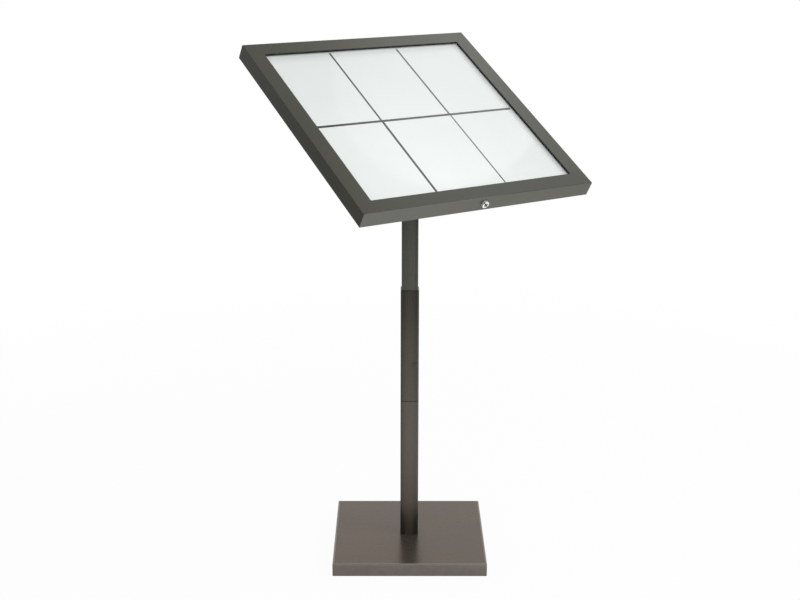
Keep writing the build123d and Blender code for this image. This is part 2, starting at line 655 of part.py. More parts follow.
with BuildPart() as bracket_screws:
    with BuildSketch(HEAD.offset(-BRACKET_PLATE)):
        with GridLocations(*BRACKET_SCREW_SPREAD, 2, 2):
            Circle(BRACKET_SCREW_HEAD_RADIUS)
    extrude(amount=-BRACKET_SCREW_HEAD)
    with BuildSketch(HEAD.offset(-BRACKET_PLATE)):
        with GridLocations(*BRACKET_SCREW_SPREAD, 2, 2):
            Circle(BRACKET_SCREW_RADIUS)
    extrude(amount=BRACKET_PLATE + BACK_SHEET + STIFFENER_THICKNESS)
save(bracket_screws, "bracket_screws")

with BuildPart() as stiffener_plate:
    with BuildSketch(HEAD.offset(BACK_SHEET)):
        RectangleRounded(BRACKET_WIDTH + 2 * STIFFENER_MARGIN, BRACKET_LENGTH + 2 * STIFFENER_MARGIN,
                         BRACKET_CORNER)
        with GridLocations(*BRACKET_SCREW_SPREAD, 2, 2):
            Circle(BRACKET_SCREW_RADIUS + THREAD_CLEARANCE, mode=Mode.SUBTRACT)
    extrude(amount=STIFFENER_THICKNESS)
save(stiffener_plate, "stiffener_plate")

# Case
case_width = HEAD_WIDTH - 2 * CASE_SETBACK
case_length = HEAD_LENGTH - 2 * CASE_SETBACK
with BuildPart() as back_panel:
    with BuildSketch(HEAD):
        RectangleRounded(case_width, case_length, CASE_CORNER_RADIUS)
        with GridLocations(*BRACKET_SCREW_SPREAD, 2, 2):
            Circle(BRACKET_SCREW_RADIUS + SCREW_CLEARANCE, mode=Mode.SUBTRACT)
        with Locations(JACK_PLACE):
            Circle(JACK_BODY_RADIUS + JACK_CLEARANCE, mode=Mode.SUBTRACT)
    extrude(amount=BACK_SHEET)
save(back_panel, "back_panel")

case_inner = CASE_SETBACK + CASE_WALL
case_edge = CASE_SETBACK + CASE_FLANGE
CASE_OUTLINE = (
    (CASE_SETBACK, BACK_SHEET), (case_edge, BACK_SHEET), (case_edge, BACK_SHEET + CASE_WALL),
    (case_inner, BACK_SHEET + CASE_WALL), (case_inner, CASE_TOP - CASE_WALL),
    (case_edge, CASE_TOP - CASE_WALL), (case_edge, CASE_TOP), (CASE_SETBACK, CASE_TOP),
)
nut_corner_radius = LOCK_NUT_FLATS / 3 ** 0.5
lock_gap_half = nut_corner_radius + LOCK_GAP_CLEARANCE
with BuildPart() as lock_gap:
    with BuildSketch(LOCK.offset(DOOR_WALL)):
        with Locations((0, WEB_UNDER / 2 - LOCK_HEIGHT)):
            Rectangle(2 * lock_gap_half, WEB_UNDER)
    extrude(amount=case_edge)

case_rail_far = mitred_rail(180, CASE_OUTLINE)
save(case_rail_far, "case_rail_far")
case_side_rails = joined(mitred_rail(90, CASE_OUTLINE), mitred_rail(270, CASE_OUTLINE))
save(case_side_rails, "case_side_rails")
with BuildPart() as case_rail_near:
    add(mitred_rail(0, CASE_OUTLINE).part)
    add(lock_gap.part, mode=Mode.SUBTRACT)
save(case_rail_near, "case_rail_near")

with BuildPart() as case_seal:
    add(flat_ring(HEAD.offset(CASE_TOP), HEAD_WIDTH - 2 * case_inner, HEAD_LENGTH - 2 * case_inner,
                  SEAL_WIDTH, SEAL_THICKNESS).part)
    add(lock_gap.part, mode=Mode.SUBTRACT)
save(case_seal, "case_seal")

# Light panel
led_rail_reach = PANEL_WIDTH / 2 + LED_SPACE + RAIL_WALL
end_rail_reach = PANEL_LENGTH / 2 + END_SPACE + RAIL_WALL
led_rail_depth = RAIL_WALL + LED_SPACE + RAIL_COVER
end_rail_depth = RAIL_WALL + END_SPACE + RAIL_COVER
end_rail_length = PANEL_WIDTH - 2 * (RAIL_COVER + RAIL_CLEARANCE)

support_height = RAIL_UNDER - BACK_SHEET
with BuildPart() as support_channels:
    for place in (-SUPPORT_SPREAD / 2, SUPPORT_SPREAD / 2):
        with BuildSketch(Plane(origin=HEAD.from_local_coords((0, place, BACK_SHEET)), x_dir=HEAD.y_dir,
                               z_dir=HEAD.x_dir)):
            with Locations((0, SUPPORT_WALL / 2)):
                Rectangle(SUPPORT_TOP + 2 * SUPPORT_FLANGE, SUPPORT_WALL)
            with Locations((0, support_height / 2)):
                Rectangle(SUPPORT_TOP, support_height)
            with Locations((0, (support_height - SUPPORT_WALL) / 2)):
                Rectangle(SUPPORT_TOP - 2 * SUPPORT_WALL, support_height - SUPPORT_WALL, mode=Mode.SUBTRACT)
        extrude(amount=led_rail_reach, both=True)
save(support_channels, "support_channels")

reflector_sheet = flat_plate(HEAD.offset(REFLECTOR_UNDER), PANEL_WIDTH, PANEL_LENGTH, REFLECTOR_THICKNESS)
save(reflector_sheet, "reflector_sheet")
light_guide = flat_plate(HEAD.offset(GUIDE_UNDER), PANEL_WIDTH, PANEL_LENGTH, GUIDE_THICKNESS)
save(light_guide, "light_guide")
diffuser_panel = flat_plate(HEAD.offset(GUIDE_TOP), PANEL_WIDTH, PANEL_LENGTH, DIFFUSER_THICKNESS)
save(diffuser_panel, "diffuser_panel")

led_rail_length = 2 * end_rail_reach
led_rails = joined(channel_rail(90, led_rail_reach, led_rail_length, led_rail_depth),
                   channel_rail(270, led_rail_reach, led_rail_length, led_rail_depth))
save(led_rails, "led_rails")
panel_end_rails = joined(channel_rail(0, end_rail_reach, end_rail_length, end_rail_depth),
                         channel_rail(180, end_rail_reach, end_rail_length, end_rail_depth))
save(panel_end_rails, "panel_end_rails")

led_count = int(PANEL_LENGTH // LED_PITCH)
with BuildPart() as led_strips:
    for direction in (-1, 1):
        board = Plane(origin=HEAD.from_local_coords((direction * (led_rail_reach - RAIL_WALL), 0,
                                                     (GUIDE_UNDER + GUIDE_TOP) / 2)),
                      x_dir=HEAD.y_dir, z_dir=-HEAD.x_dir * direction)
        with BuildSketch(board):
            Rectangle(PANEL_LENGTH, LED_BOARD_WIDTH)
        extrude(amount=LED_BOARD_THICKNESS)
        with BuildSketch(board.offset(LED_BOARD_THICKNESS)):
            with GridLocations(LED_PITCH, 0, led_count, 1):
                Rectangle(LED_LENGTH, LED_WIDTH)
        extrude(amount=LED_HEIGHT)
save(led_strips, "led_strips")

# Sheets and the grid under them
column_pitch = SHEET_WIDTH + COLUMN_GAP
row_pitch = SHEET_LENGTH + ROW_GAP
with BuildPart() as divider_grid:
    with BuildSketch(HEAD.offset(DIFFUSER_TOP)):
        with GridLocations(column_pitch, 0, COLUMNS - 1, 1):
            Rectangle(GRID_WIDTH, FIELD_LENGTH)
        with GridLocations(0, row_pitch, 1, ROWS - 1):
            Rectangle(FIELD_WIDTH, GRID_WIDTH)
    extrude(amount=GRID_THICKNESS)
save(divider_grid, "divider_grid")

with BuildPart() as insert_sheets:
    with BuildSketch(HEAD.offset(SHEET_UNDER)):
        for column in range(COLUMNS):
            for row in range(ROWS):
                slip = SHEET_SLIP if (column, row) == (COLUMNS // 2, 0) else 0.0
                with Locations(((column - (COLUMNS - 1) / 2) * column_pitch + slip,
                                (row - (ROWS - 1) / 2) * row_pitch)):
                    Rectangle(SHEET_WIDTH, SHEET_LENGTH)
    extrude(amount=SHEET_THICKNESS)
save(insert_sheets, "insert_sheets")

# Power inlet and leads
block_length, block_width, block_height = JACK_BLOCK
with BuildPart() as power_inlet:
    with BuildSketch(HEAD):
        with Locations(JACK_PLACE):
            Circle(JACK_FLANGE_RADIUS)
    extrude(amount=-JACK_FLANGE_THICKNESS)
    with BuildSketch(HEAD):
        with Locations(JACK_PLACE):
            Circle(JACK_BODY_RADIUS)
    extrude(amount=JACK_BODY_LENGTH)
    with BuildSketch(HEAD.offset(JACK_BODY_LENGTH)):
        with Locations(JACK_PLACE):
            Rectangle(block_length, block_width)
    extrude(amount=block_height)
    with BuildSketch(HEAD.offset(-JACK_FLANGE_THICKNESS)):
        with Locations(JACK_PLACE):
            Circle(JACK_BORE_RADIUS)
    extrude(amount=JACK_BORE_DEPTH, mode=Mode.SUBTRACT)
    with BuildSketch(HEAD.offset(JACK_BORE_DEPTH - JACK_FLANGE_THICKNESS)):
        with Locations(JACK_PLACE):
            Circle(JACK_PIN_RADIUS)
    extrude(amount=JACK_PIN_RECESS - JACK_BORE_DEPTH)
save(power_inlet, "power_inlet")

jack_across, jack_along = JACK_PLACE
lead_side = HEAD_WIDTH / 2 - case_edge - LEAD_CLEARANCE - LEAD_RADIUS
lead_top = (GUIDE_UNDER + GUIDE_TOP) / 2
lead_low = BACK_SHEET + LEAD_RADIUS + SCREW_CLEARANCE
feed_height = JACK_BODY_LENGTH + block_height / 2
jumper_along = jack_along - JUMPER_SPACING
FEED_ROUTE = (
    (jack_across + block_length / 2, jack_along, feed_height), (lead_side, jack_along, feed_height),
    (lead_side, jack_along, lead_top), (led_rail_reach, jack_along, lead_top),
)
JUMPER_ROUTE = (
    (led_rail_reach, jumper_along, lead_top), (lead_side, jumper_along, lead_top),
    (lead_side, jumper_along, lead_low), (-lead_side, jumper_along, lead_low),
    (-lead_side, jumper_along, lead_top), (-led_rail_reach, jumper_along, lead_top),
)
with BuildPart() as led_leads:
    for route in (FEED_ROUTE, JUMPER_ROUTE):
        with BuildLine() as lead_path:
            FilletPolyline(*[HEAD.from_local_coords(point) for point in route], radius=LEAD_BEND)
        with BuildSketch(Plane(origin=lead_path.wires()[0] @ 0, z_dir=lead_path.wires()[0] % 0)):
            Circle(LEAD_RADIUS)
        sweep(path=lead_path.wires()[0])
save(led_leads, "led_leads")

# Door frame
DOOR_OUTLINE = (
    (0, 0), (DOOR_WALL, 0), (DOOR_WALL, WEB_UNDER), (RIB_EDGE, WEB_UNDER), (RIB_EDGE, FACE_UNDER),
    (FACE_WIDTH - DOOR_WALL, FACE_UNDER), (FACE_WIDTH - DOOR_WALL, LIP_UNDER), (FACE_WIDTH, LIP_UNDER),
    (FACE_WIDTH, HEAD_DEPTH), (0, HEAD_DEPTH),
)
KEY_CHAMBER = ((DOOR_WALL, KEY_FLOOR), (DOOR_WALL + KEY_CHAMBER_WIDTH, FACE_UNDER))
DOOR_ROUNDS = (((0, HEAD_DEPTH), DOOR_EDGE_RADIUS), ((FACE_WIDTH, HEAD_DEPTH), DOOR_LIP_RADIUS))
for rail_name, rail_angle in (("door_rail_far", 180), ("door_stile_right", 90), ("door_stile_left", 270)):
    save(mitred_rail(rail_angle, DOOR_OUTLINE, KEY_CHAMBER, DOOR_ROUNDS), rail_name)
with BuildPart() as door_rail_near:
    add(mitred_rail(0, DOOR_OUTLINE, KEY_CHAMBER, DOOR_ROUNDS).part)
    with BuildSketch(LOCK):
        Circle(LOCK_BARREL_RADIUS + SCREW_CLEARANCE)
    extrude(amount=2 * DOOR_WALL, mode=Mode.SUBTRACT)
save(door_rail_near, "door_rail_near")

key_edge = DOOR_WALL + KEY_CLEARANCE
key_width = KEY_CHAMBER_WIDTH - 2 * KEY_CLEARANCE
with BuildPart() as corner_keys:
    with BuildSketch(HEAD.offset(KEY_FLOOR + KEY_CLEARANCE)):
        for across in (-1, 1):
            for along in (-1, 1):
                corner_u = across * (HEAD_WIDTH / 2 - key_edge)
                corner_v = along * (HEAD_LENGTH / 2 - key_edge)
                with Locations((corner_u - across * KEY_LEG / 2, corner_v - along * key_width / 2)):
                    Rectangle(KEY_LEG, key_width)
                with Locations((corner_u - across * key_width / 2, corner_v - along * KEY_LEG / 2)):
                    Rectangle(key_width, KEY_LEG)
    extrude(amount=KEY_CHAMBER_HEIGHT - 2 * KEY_CLEARANCE)
save(corner_keys, "corner_keys")

# Pane
door_pane = flat_plate(HEAD.offset(PANE_UNDER), HEAD_WIDTH - 2 * PANE_EDGE, HEAD_LENGTH - 2 * PANE_EDGE,
                       PANE_THICKNESS)
save(door_pane, "door_pane")
pane_gasket = flat_ring(HEAD.offset(PANE_TOP), HEAD_WIDTH - 2 * GASKET_EDGE, HEAD_LENGTH - 2 * GASKET_EDGE,
                        FACE_WIDTH - GASKET_SETBACK - GASKET_EDGE, GASKET_THICKNESS)
save(pane_gasket, "pane_gasket")
bead_edge = FACE_WIDTH - BEAD_SETBACK
BEAD_OUTLINE = (
    (RIB_EDGE, BEAD_UNDER), (bead_edge - BEAD_WALL, BEAD_UNDER), (bead_edge - BEAD_WALL, BEAD_FOOT),
    (bead_edge, BEAD_FOOT), (bead_edge, PANE_UNDER), (RIB_EDGE + BEAD_WALL, PANE_UNDER),
    (RIB_EDGE + BEAD_WALL, FACE_UNDER - BEAD_CLEARANCE), (RIB_EDGE, FACE_UNDER - BEAD_CLEARANCE),
)
glazing_beads = joined(*[mitred_rail(bead_angle, BEAD_OUTLINE) for bead_angle in (0, 90, 180, 270)])
save(glazing_beads, "glazing_beads")

# Hinges
hinge_along = HEAD_LENGTH / 2 - HINGE_RADIUS
hinge_level = -HINGE_RADIUS - HINGE_CLEARANCE
knuckle_bore = HINGE_PIN_RADIUS + RUNNING_CLEARANCE
third = HINGE_LENGTH / 3
middle_knuckle = third - HINGE_CLEARANCE
leaf_end = hinge_along - HINGE_RADIUS - HINGE_CLEARANCE


def hinge_section(across):
    """A plane square to the hinge line, with its origin on the line."""
    return Plane(origin=HEAD.from_local_coords((across, hinge_along, hinge_level)), x_dir=HEAD.y_dir,
                 z_dir=HEAD.x_dir)


with BuildPart() as hinge_case_leaves:
    with BuildSketch(HEAD):
        with Locations(*[(place, leaf_end - HINGE_CASE_LEAF / 2) for place in HINGE_PLACES]):
            Rectangle(HINGE_LENGTH, HINGE_CASE_LEAF)
        with Locations(*[(place, (leaf_end + hinge_along) / 2) for place in HINGE_PLACES]):
            Rectangle(middle_knuckle, hinge_along - leaf_end)
    extrude(amount=-HINGE_LEAF_THICKNESS)
    for place in HINGE_PLACES:
        with BuildSketch(hinge_section(place)):
            Circle(HINGE_RADIUS)
        extrude(amount=middle_knuckle / 2, both=True)
        with BuildSketch(hinge_section(place)):
            Circle(knuckle_bore)
        extrude(amount=middle_knuckle / 2, both=True, mode=Mode.SUBTRACT)
save(hinge_case_leaves, "hinge_case_leaves")

skirt_inside = Plane(origin=HEAD.from_local_coords((0, HEAD_LENGTH / 2 - DOOR_WALL, 0)), x_dir=HEAD.x_dir,
                     z_dir=-HEAD.y_dir)
outer_knuckles = [place + sign * third for place in HINGE_PLACES for sign in (-1, 1)]
with BuildPart() as hinge_door_leaves:
    with BuildSketch(skirt_inside):
        with Locations(*[(place, HINGE_CLEARANCE + HINGE_DOOR_LEAF / 2) for place in HINGE_PLACES]):
            Rectangle(HINGE_LENGTH, HINGE_DOOR_LEAF)
        with Locations(*[(place, (hinge_level + HINGE_CLEARANCE) / 2) for place in outer_knuckles]):
            Rectangle(middle_knuckle, HINGE_CLEARANCE - hinge_level)
    extrude(amount=HINGE_LEAF_THICKNESS)
    for place in outer_knuckles:
        with BuildSketch(hinge_section(place)):
            Circle(HINGE_RADIUS)
        extrude(amount=middle_knuckle / 2, both=True)
        with BuildSketch(hinge_section(place)):
            Circle(knuckle_bore)
        extrude(amount=middle_knuckle / 2, both=True, mode=Mode.SUBTRACT)
save(hinge_door_leaves, "hinge_door_leaves")

with BuildPart() as hinge_pins:
    for place in HINGE_PLACES:
        with BuildSketch(hinge_section(place)):
            Circle(HINGE_PIN_RADIUS)
        extrude(amount=HINGE_LENGTH / 2, both=True)
save(hinge_pins, "hinge_pins")

# Lock
with BuildPart() as lock_body:
    with BuildSketch(LOCK):
        Circle(LOCK_RIM_RADIUS)
    extrude(amount=-LOCK_RIM_THICKNESS)
    fillet(lock_body.faces().sort_by(Axis(LOCK.origin, LOCK.z_dir))[0].edges(), LOCK_RIM_ROUND)
    with BuildSketch(LOCK):
        Circle(LOCK_BARREL_RADIUS)
    extrude(amount=LOCK_BARREL_LENGTH)
    with BuildSketch(LOCK.offset(-LOCK_RIM_THICKNESS)):
        Rectangle(SPANNER_SLOT_WIDTH, 3 * LOCK_RIM_RADIUS, rotation=KEYWAY_TURN)
    extrude(amount=SPANNER_SLOT_DEPTH, mode=Mode.SUBTRACT)
    with BuildSketch(LOCK.offset(-LOCK_RIM_THICKNESS)):
        Circle(LOCK_PLUG_RADIUS + RUNNING_CLEARANCE)
    extrude(amount=LOCK_RIM_THICKNESS + LOCK_BARREL_LENGTH, mode=Mode.SUBTRACT)
save(lock_body, "lock_body")

lock_nut = hex_nut(LOCK.offset(DOOR_WALL), LOCK_BARREL_RADIUS + THREAD_CLEARANCE,
                   LOCK_NUT_FLATS, LOCK_NUT_THICKNESS)
save(lock_nut, "lock_nut")

plug_front = LOCK_PLUG_RECESS - LOCK_RIM_THICKNESS
plug_back = LOCK_BARREL_LENGTH + PLUG_END_PLAY
with BuildPart() as lock_plug:
    with BuildSketch(LOCK.offset(plug_front)):
        Circle(LOCK_PLUG_RADIUS)
    extrude(amount=plug_back - plug_front)
    with BuildSketch(LOCK.offset(plug_back)):
        Rectangle(CAM_SQUARE, CAM_SQUARE)
    extrude(amount=CAM_THICKNESS)
    with BuildSketch(LOCK.offset(plug_front)):
        Rectangle(KEYWAY_WIDTH, KEYWAY_LENGTH, rotation=KEYWAY_TURN)
    extrude(amount=KEYWAY_DEPTH, mode=Mode.SUBTRACT)
    with BuildSketch(LOCK.offset(plug_back + CAM_THICKNESS)):
        Circle(CAM_SCREW_RADIUS + THREAD_CLEARANCE)
    extrude(amount=-CAM_SCREW_LENGTH, mode=Mode.SUBTRACT)
save(lock_plug, "lock_plug")

cam_reach = LOCK_HEIGHT - BACK_SHEET - CAM_CLEARANCE
with BuildPart() as lock_cam:
    with BuildSketch(LOCK.offset(plug_back)):
        Circle(CAM_HUB_RADIUS)
        with Locations((0, -cam_reach / 2)):
            Rectangle(CAM_WIDTH, cam_reach)
        Rectangle(CAM_SQUARE + 2 * CAM_FIT, CAM_SQUARE + 2 * CAM_FIT, mode=Mode.SUBTRACT)
    extrude(amount=CAM_THICKNESS)
save(lock_cam, "lock_cam")

with BuildPart() as cam_screw:
    with BuildSketch(LOCK.offset(plug_back + CAM_THICKNESS)):
        Circle(CAM_SCREW_HEAD_RADIUS)
    extrude(amount=CAM_SCREW_HEAD)
    with BuildSketch(LOCK.offset(plug_back + CAM_THICKNESS)):
        Circle(CAM_SCREW_RADIUS)
    extrude(amount=-CAM_SCREW_LENGTH)
save(cam_screw, "cam_screw")

keeper_under = LOCK_HEIGHT + CAM_WIDTH / 2 + KEEPER_GAP
near_edge = -HEAD_LENGTH / 2
keeper_start = LOCK_OFFSET + max(LOCK_BARREL_RADIUS, CAM_HUB_RADIUS) + KEEPER_SIDE_GAP
keeper_foot = LOCK_OFFSET + lock_gap_half + KEEPER_GAP
keeper_end = keeper_foot + KEEPER_LENGTH
with BuildPart() as lock_keeper:
    with BuildSketch(HEAD.offset(keeper_under)):
        with BuildLine():
            Polyline((keeper_foot, near_edge + case_inner + KEEPER_GAP),
                     (keeper_end, near_edge + case_inner + KEEPER_GAP),
                     (keeper_end, near_edge + case_edge + KEEPER_REACH),
                     (keeper_start, near_edge + case_edge + KEEPER_REACH),
                     (keeper_start, near_edge + case_edge), (keeper_foot, near_edge + case_edge), close=True)
        make_face()
    extrude(amount=CASE_TOP - CASE_WALL - keeper_under)
save(lock_keeper, "lock_keeper")
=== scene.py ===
# %% [markdown]
# # A lit notice case on a post
# The object is a flat, tilted case with a glazed door, a white light panel behind the glass, and six
# blank sheets on the panel. It stands on a square post that telescopes, over a weighted square base.
# The shapes come from the packed CAD model, which Blender loads as a fixed frame. This lesson adds
# the camera, the light, the finishes and the small fasteners that the CAD model leaves plain.

# %% Load the frame
import json
from math import atan2, cos, pi, radians, sin, tan

import bmesh
import bpy
from mathutils import Matrix, Vector


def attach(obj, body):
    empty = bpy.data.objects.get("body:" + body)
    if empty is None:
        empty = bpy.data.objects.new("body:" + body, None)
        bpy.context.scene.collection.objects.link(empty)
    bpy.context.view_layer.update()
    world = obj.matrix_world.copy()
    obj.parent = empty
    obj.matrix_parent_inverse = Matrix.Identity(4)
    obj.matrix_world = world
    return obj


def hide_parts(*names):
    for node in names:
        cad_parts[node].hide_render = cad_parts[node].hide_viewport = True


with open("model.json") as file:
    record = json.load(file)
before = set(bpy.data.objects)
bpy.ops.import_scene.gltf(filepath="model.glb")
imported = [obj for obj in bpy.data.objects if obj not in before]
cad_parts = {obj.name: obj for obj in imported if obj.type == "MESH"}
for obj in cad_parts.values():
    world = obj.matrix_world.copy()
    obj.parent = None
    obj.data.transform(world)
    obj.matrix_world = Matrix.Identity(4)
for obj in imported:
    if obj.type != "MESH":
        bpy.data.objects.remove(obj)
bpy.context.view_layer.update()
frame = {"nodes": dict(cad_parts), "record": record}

nodes = frame["nodes"]

# %% [markdown]
# ## Two sets of directions
# Hardly anything here is square to the world. The head is tilted by 31 degrees, and the base and post
# are turned against it by 34.3 degrees. One could work out every place by hand, but a matrix for the
# head and one for the post let each piece be modelled in its own upright directions, then be put in
# place in one go. In the head, x runs across the window, y up the slope and z out of the glass, from
# the back panel's outer face. All lengths are in metres.

# %% Head and post directions
HEAD_TILT = radians(31.0)
POST_TURN = radians(-34.3)
TILT_AXIS_HEIGHT = 1.1781
AXIS_TO_BACK = 0.024
TILT_AXIS = Matrix.Translation((0.0, 0.0, TILT_AXIS_HEIGHT))
HEAD = TILT_AXIS @ Matrix.Rotation(HEAD_TILT, 4, "X") @ Matrix.Translation((0.0, 0.0, AXIS_TO_BACK))
POST = Matrix.Rotation(POST_TURN, 4, "Z")
print("head's middle", [round(part, 4) for part in HEAD.translation])

# %% [markdown]
# ## The camera
# The picture was taken from the reader's left, a little above the case, with a longish lens. The place
# was found by fitting the corners of the case and the base, so it is given as a point and a direction,
# and not as angles that would have to be guessed.

# %% Camera
CAMERA_PLACE = (-2.07771, -2.98500, 1.74361)
LOOK = Vector((0.54419, 0.79422, -0.270318))
RIGHT = Vector((0.825117, -0.56496, 0.001176))
camera = bpy.data.objects.new("photo_camera", bpy.data.cameras.new("photo_camera"))
bpy.context.scene.collection.objects.link(camera)
camera.data.lens = 62.4
camera.data.sensor_width = 36.0
facing = Matrix((RIGHT, RIGHT.cross(LOOK), -LOOK)).transposed().to_4x4()
camera.matrix_world = Matrix.Translation(CAMERA_PLACE) @ facing
bpy.context.scene.camera = camera
bpy.context.scene.view_settings.view_transform = "Standard"
print("camera", [round(part, 3) for part in camera.matrix_world.translation], "lens", camera.data.lens)

# %% [markdown]
# ## Shader maths as Python
# A finish is a tree of nodes, and a tree written node by node is hard to read. So one small class wraps
# a socket and lets Python's own operators add the Math nodes, and a second class holds the material and
# has one method for every other kind of node. After that, a rub mark is a line of arithmetic.


# %% Sockets with operators
class Reading:
    """A socket's value, which Python's operators can work on."""

    def __init__(self, finish, socket):
        self.finish, self.socket = finish, socket

    def maths(self, operation, *values):
        return self.finish.node("ShaderNodeMath", {"operation": operation}, dict(enumerate(values)))

    def __add__(self, other):
        return self.maths("ADD", self, other)

    def __sub__(self, other):
        return self.maths("SUBTRACT", self, other)

    def __rsub__(self, other):
        return self.maths("SUBTRACT", other, self)

    def __mul__(self, other):
        return self.maths("MULTIPLY", self, other)

    def __abs__(self):
        return self.maths("ABSOLUTE", self)

    __radd__, __rmul__ = __add__, __mul__

    def least(self, other):
        return self.maths("MINIMUM", self, other)

    def most(self, other):
        return self.maths("MAXIMUM", self, other)

    def rise(self, low, high):
        """0 up to low, 1 from high, and a smooth step between them."""
        return self.finish.node("ShaderNodeMapRange", {"interpolation_type": "SMOOTHSTEP"},
                                {"Value": self, "From Min": low, "From Max": high})

    def drop(self, low, high):
        """1 up to low, 0 from high."""
        return 1 - self.rise(low, high)

    def parts(self):
        """The three numbers of a vector."""
        split = self.finish.node("ShaderNodeSeparateXYZ", {}, {"Vector": self}).socket.node
        return [Reading(self.finish, socket) for socket in split.outputs]


print("Reading can", [name for name in vars(Reading) if not name.startswith("_")])


# %% Materials with one method for every node
class Finish:
    """A tree of nodes, made node by node: a material's, or the world's."""

    def __init__(self, name, owner=None):
        self.owner = owner or bpy.data.materials.new(name)
        self.owner.use_nodes = True
        self.tree = self.owner.node_tree
        self.tree.nodes.clear()

    def node(self, kind, settings, sockets, output=0):
        """Any node: its settings, then a link or a constant for each socket. Gives one of its outputs."""
        made = self.tree.nodes.new(kind)
        for key, value in settings.items():
            setattr(made, key, value)
        for key, value in sockets.items():
            if isinstance(value, Reading):
                self.tree.links.new(value.socket, made.inputs[key])
            else:
                made.inputs[key].default_value = value
        return Reading(self, made.outputs[output]) if made.outputs else made

    def spot(self, centre=(0.0, 0.0, 0.0), turn=(0.0, 0.0, 0.0)):
        """Object coordinates, centred and turned."""
        place = self.node("ShaderNodeTexCoord", {}, {}, "Object")
        return self.node("ShaderNodeMapping", {"vector_type": "TEXTURE"},
                         {"Vector": place, "Location": centre, "Rotation": turn})

    def head_spot(self):
        """A place on the head, in the head's own directions."""
        return self.spot(HEAD.translation, (HEAD_TILT, 0.0, 0.0))

    def noise(self, spot, size, detail=2.0, stretch=(1.0, 1.0, 1.0)):
        """Soft noise from 0 to 1, in lumps of about this size. A small stretch draws them out."""
        drawn = self.node("ShaderNodeVectorMath", {"operation": "MULTIPLY"}, {0: spot, 1: stretch})
        return self.node("ShaderNodeTexNoise", {}, {"Vector": drawn, "Scale": 1.0 / size, "Detail": detail})

    def mix(self, first, second, share):
        """A share of the second colour in the first."""
        return self.node("ShaderNodeMix", {"data_type": "RGBA"}, {0: share, 6: first, 7: second}, 2)

    def bump(self, height, depth):
        """Relief of this depth."""
        return self.node("ShaderNodeBump", {}, {"Height": height, "Distance": depth, "Strength": 1.0})

    def blend(self, share, first, second):
        """A share of the second shader in the first."""
        return self.node("ShaderNodeMixShader", {}, {0: share, 1: first, 2: second})

    def show(self, shader, output="ShaderNodeOutputMaterial"):
        self.node(output, {}, {"Surface": shader})
        print("finish", self.owner.name, len(self.tree.nodes), "nodes")
        return self.owner

    def surface(self, sockets):
        """A material with one Principled shader."""
        return self.show(self.node("ShaderNodeBsdfPrincipled", {}, sockets))


def paint(red, green, blue, times=1.0):
    """A colour, or that colour a number of times as bright."""
    return (red * times, green * times, blue * times, 1.0)


print("Finish can", [name for name in vars(Finish) if not name.startswith("_")])

# %% [markdown]
# ## Studio
# The picture has a pure white ground, and soft light that comes mostly from the front and off the floor.
# The floor is a pale sheet that is white to the camera and in reflections and still takes the object's
# shadow, and it fades into a white world. Turning up the lamps would whiten it as well, but would wash
# out the dark coat at the same time. A lamp in front and to the right models the forms.


# %% Floor and world
def seen_directly(finish):
    """1 for camera, glossy and transmission rays, and 0 for the light that falls on surfaces."""
    path = finish.node("ShaderNodeLightPath", {}, {}).socket.node
    camera_ray, glossy, through = (Reading(finish, path.outputs[name]) for name in
                                   ("Is Camera Ray", "Is Glossy Ray", "Is Transmission Ray"))
    return camera_ray.most(glossy).most(through)


def stage_piece(name, shape, finish):
    """A piece of the studio, which is no part of the object."""
    data = bpy.data.meshes.new(name)
    shape.to_mesh(data)
    shape.free()
    data.materials.append(finish.owner)
    piece = bpy.data.objects.new(name, data)
    bpy.context.scene.collection.objects.link(piece)
    return piece


FLOOR_REACH = 3.2
FADE_START = 1.0
FLOOR_GLOW = 0.95
AMBIENT = 0.62
WHITE = paint(1.0, 1.0, 1.0)
pale = Finish("pale_floor")
glow = pale.node("ShaderNodeEmission", {}, {"Color": WHITE, "Strength": 1.0})
matt = pale.node("ShaderNodeBsdfDiffuse", {}, {"Color": paint(0.9, 0.9, 0.9)})
clear = pale.node("ShaderNodeBsdfTransparent", {}, {})
lit_floor = pale.blend(seen_directly(pale) * FLOOR_GLOW, matt, glow)
across, along, _ = pale.spot().parts()
out_of_reach = (across * across + along * along).rise(FADE_START, FLOOR_REACH * FLOOR_REACH)
pale.show(pale.blend(out_of_reach, lit_floor, clear))
disc = bmesh.new()
bmesh.ops.create_circle(disc, cap_ends=True, segments=96, radius=FLOOR_REACH)
stage_piece("floor", disc, pale)

bpy.context.scene.world = bpy.data.worlds.new("white_studio")
sky = Finish("white_studio", bpy.context.scene.world)
ambient = sky.node("ShaderNodeBackground", {}, {"Color": WHITE, "Strength": AMBIENT})
backdrop = sky.node("ShaderNodeBackground", {}, {"Color": WHITE, "Strength": 1.0})
sky.show(sky.blend(seen_directly(sky), ambient, backdrop), "ShaderNodeOutputWorld")


# %% Lamps
def lamp(name, place, aim, size, power):
    """A round soft lamp that points at a place and can't be seen itself."""
    light = bpy.data.lights.new(name, "AREA")
    light.shape = "DISK"
    light.size, light.energy = size, power
    holder = bpy.data.objects.new(name, light)
    towards = (Vector(aim) - Vector(place)).to_track_quat("-Z", "Y").to_matrix().to_4x4()
    holder.matrix_world = Matrix.Translation(place) @ towards
    holder.visible_camera = False
    bpy.context.scene.collection.objects.link(holder)
    print("lamp", name, power, "W")


lamp("front_right_lamp", place=(2.0, -2.6, 2.6), aim=(0.0, 0.0, 0.9), size=2.4, power=52.0)
lamp("floor_bounce", place=(0.15, -1.35, 0.004), aim=(0.15, -1.35, 1.0), size=2.0, power=9.0)
lamp("top_right_lamp", place=(1.25, 0.60, 2.7), aim=(0.1, 0.0, 1.2), size=0.9, power=1.5)

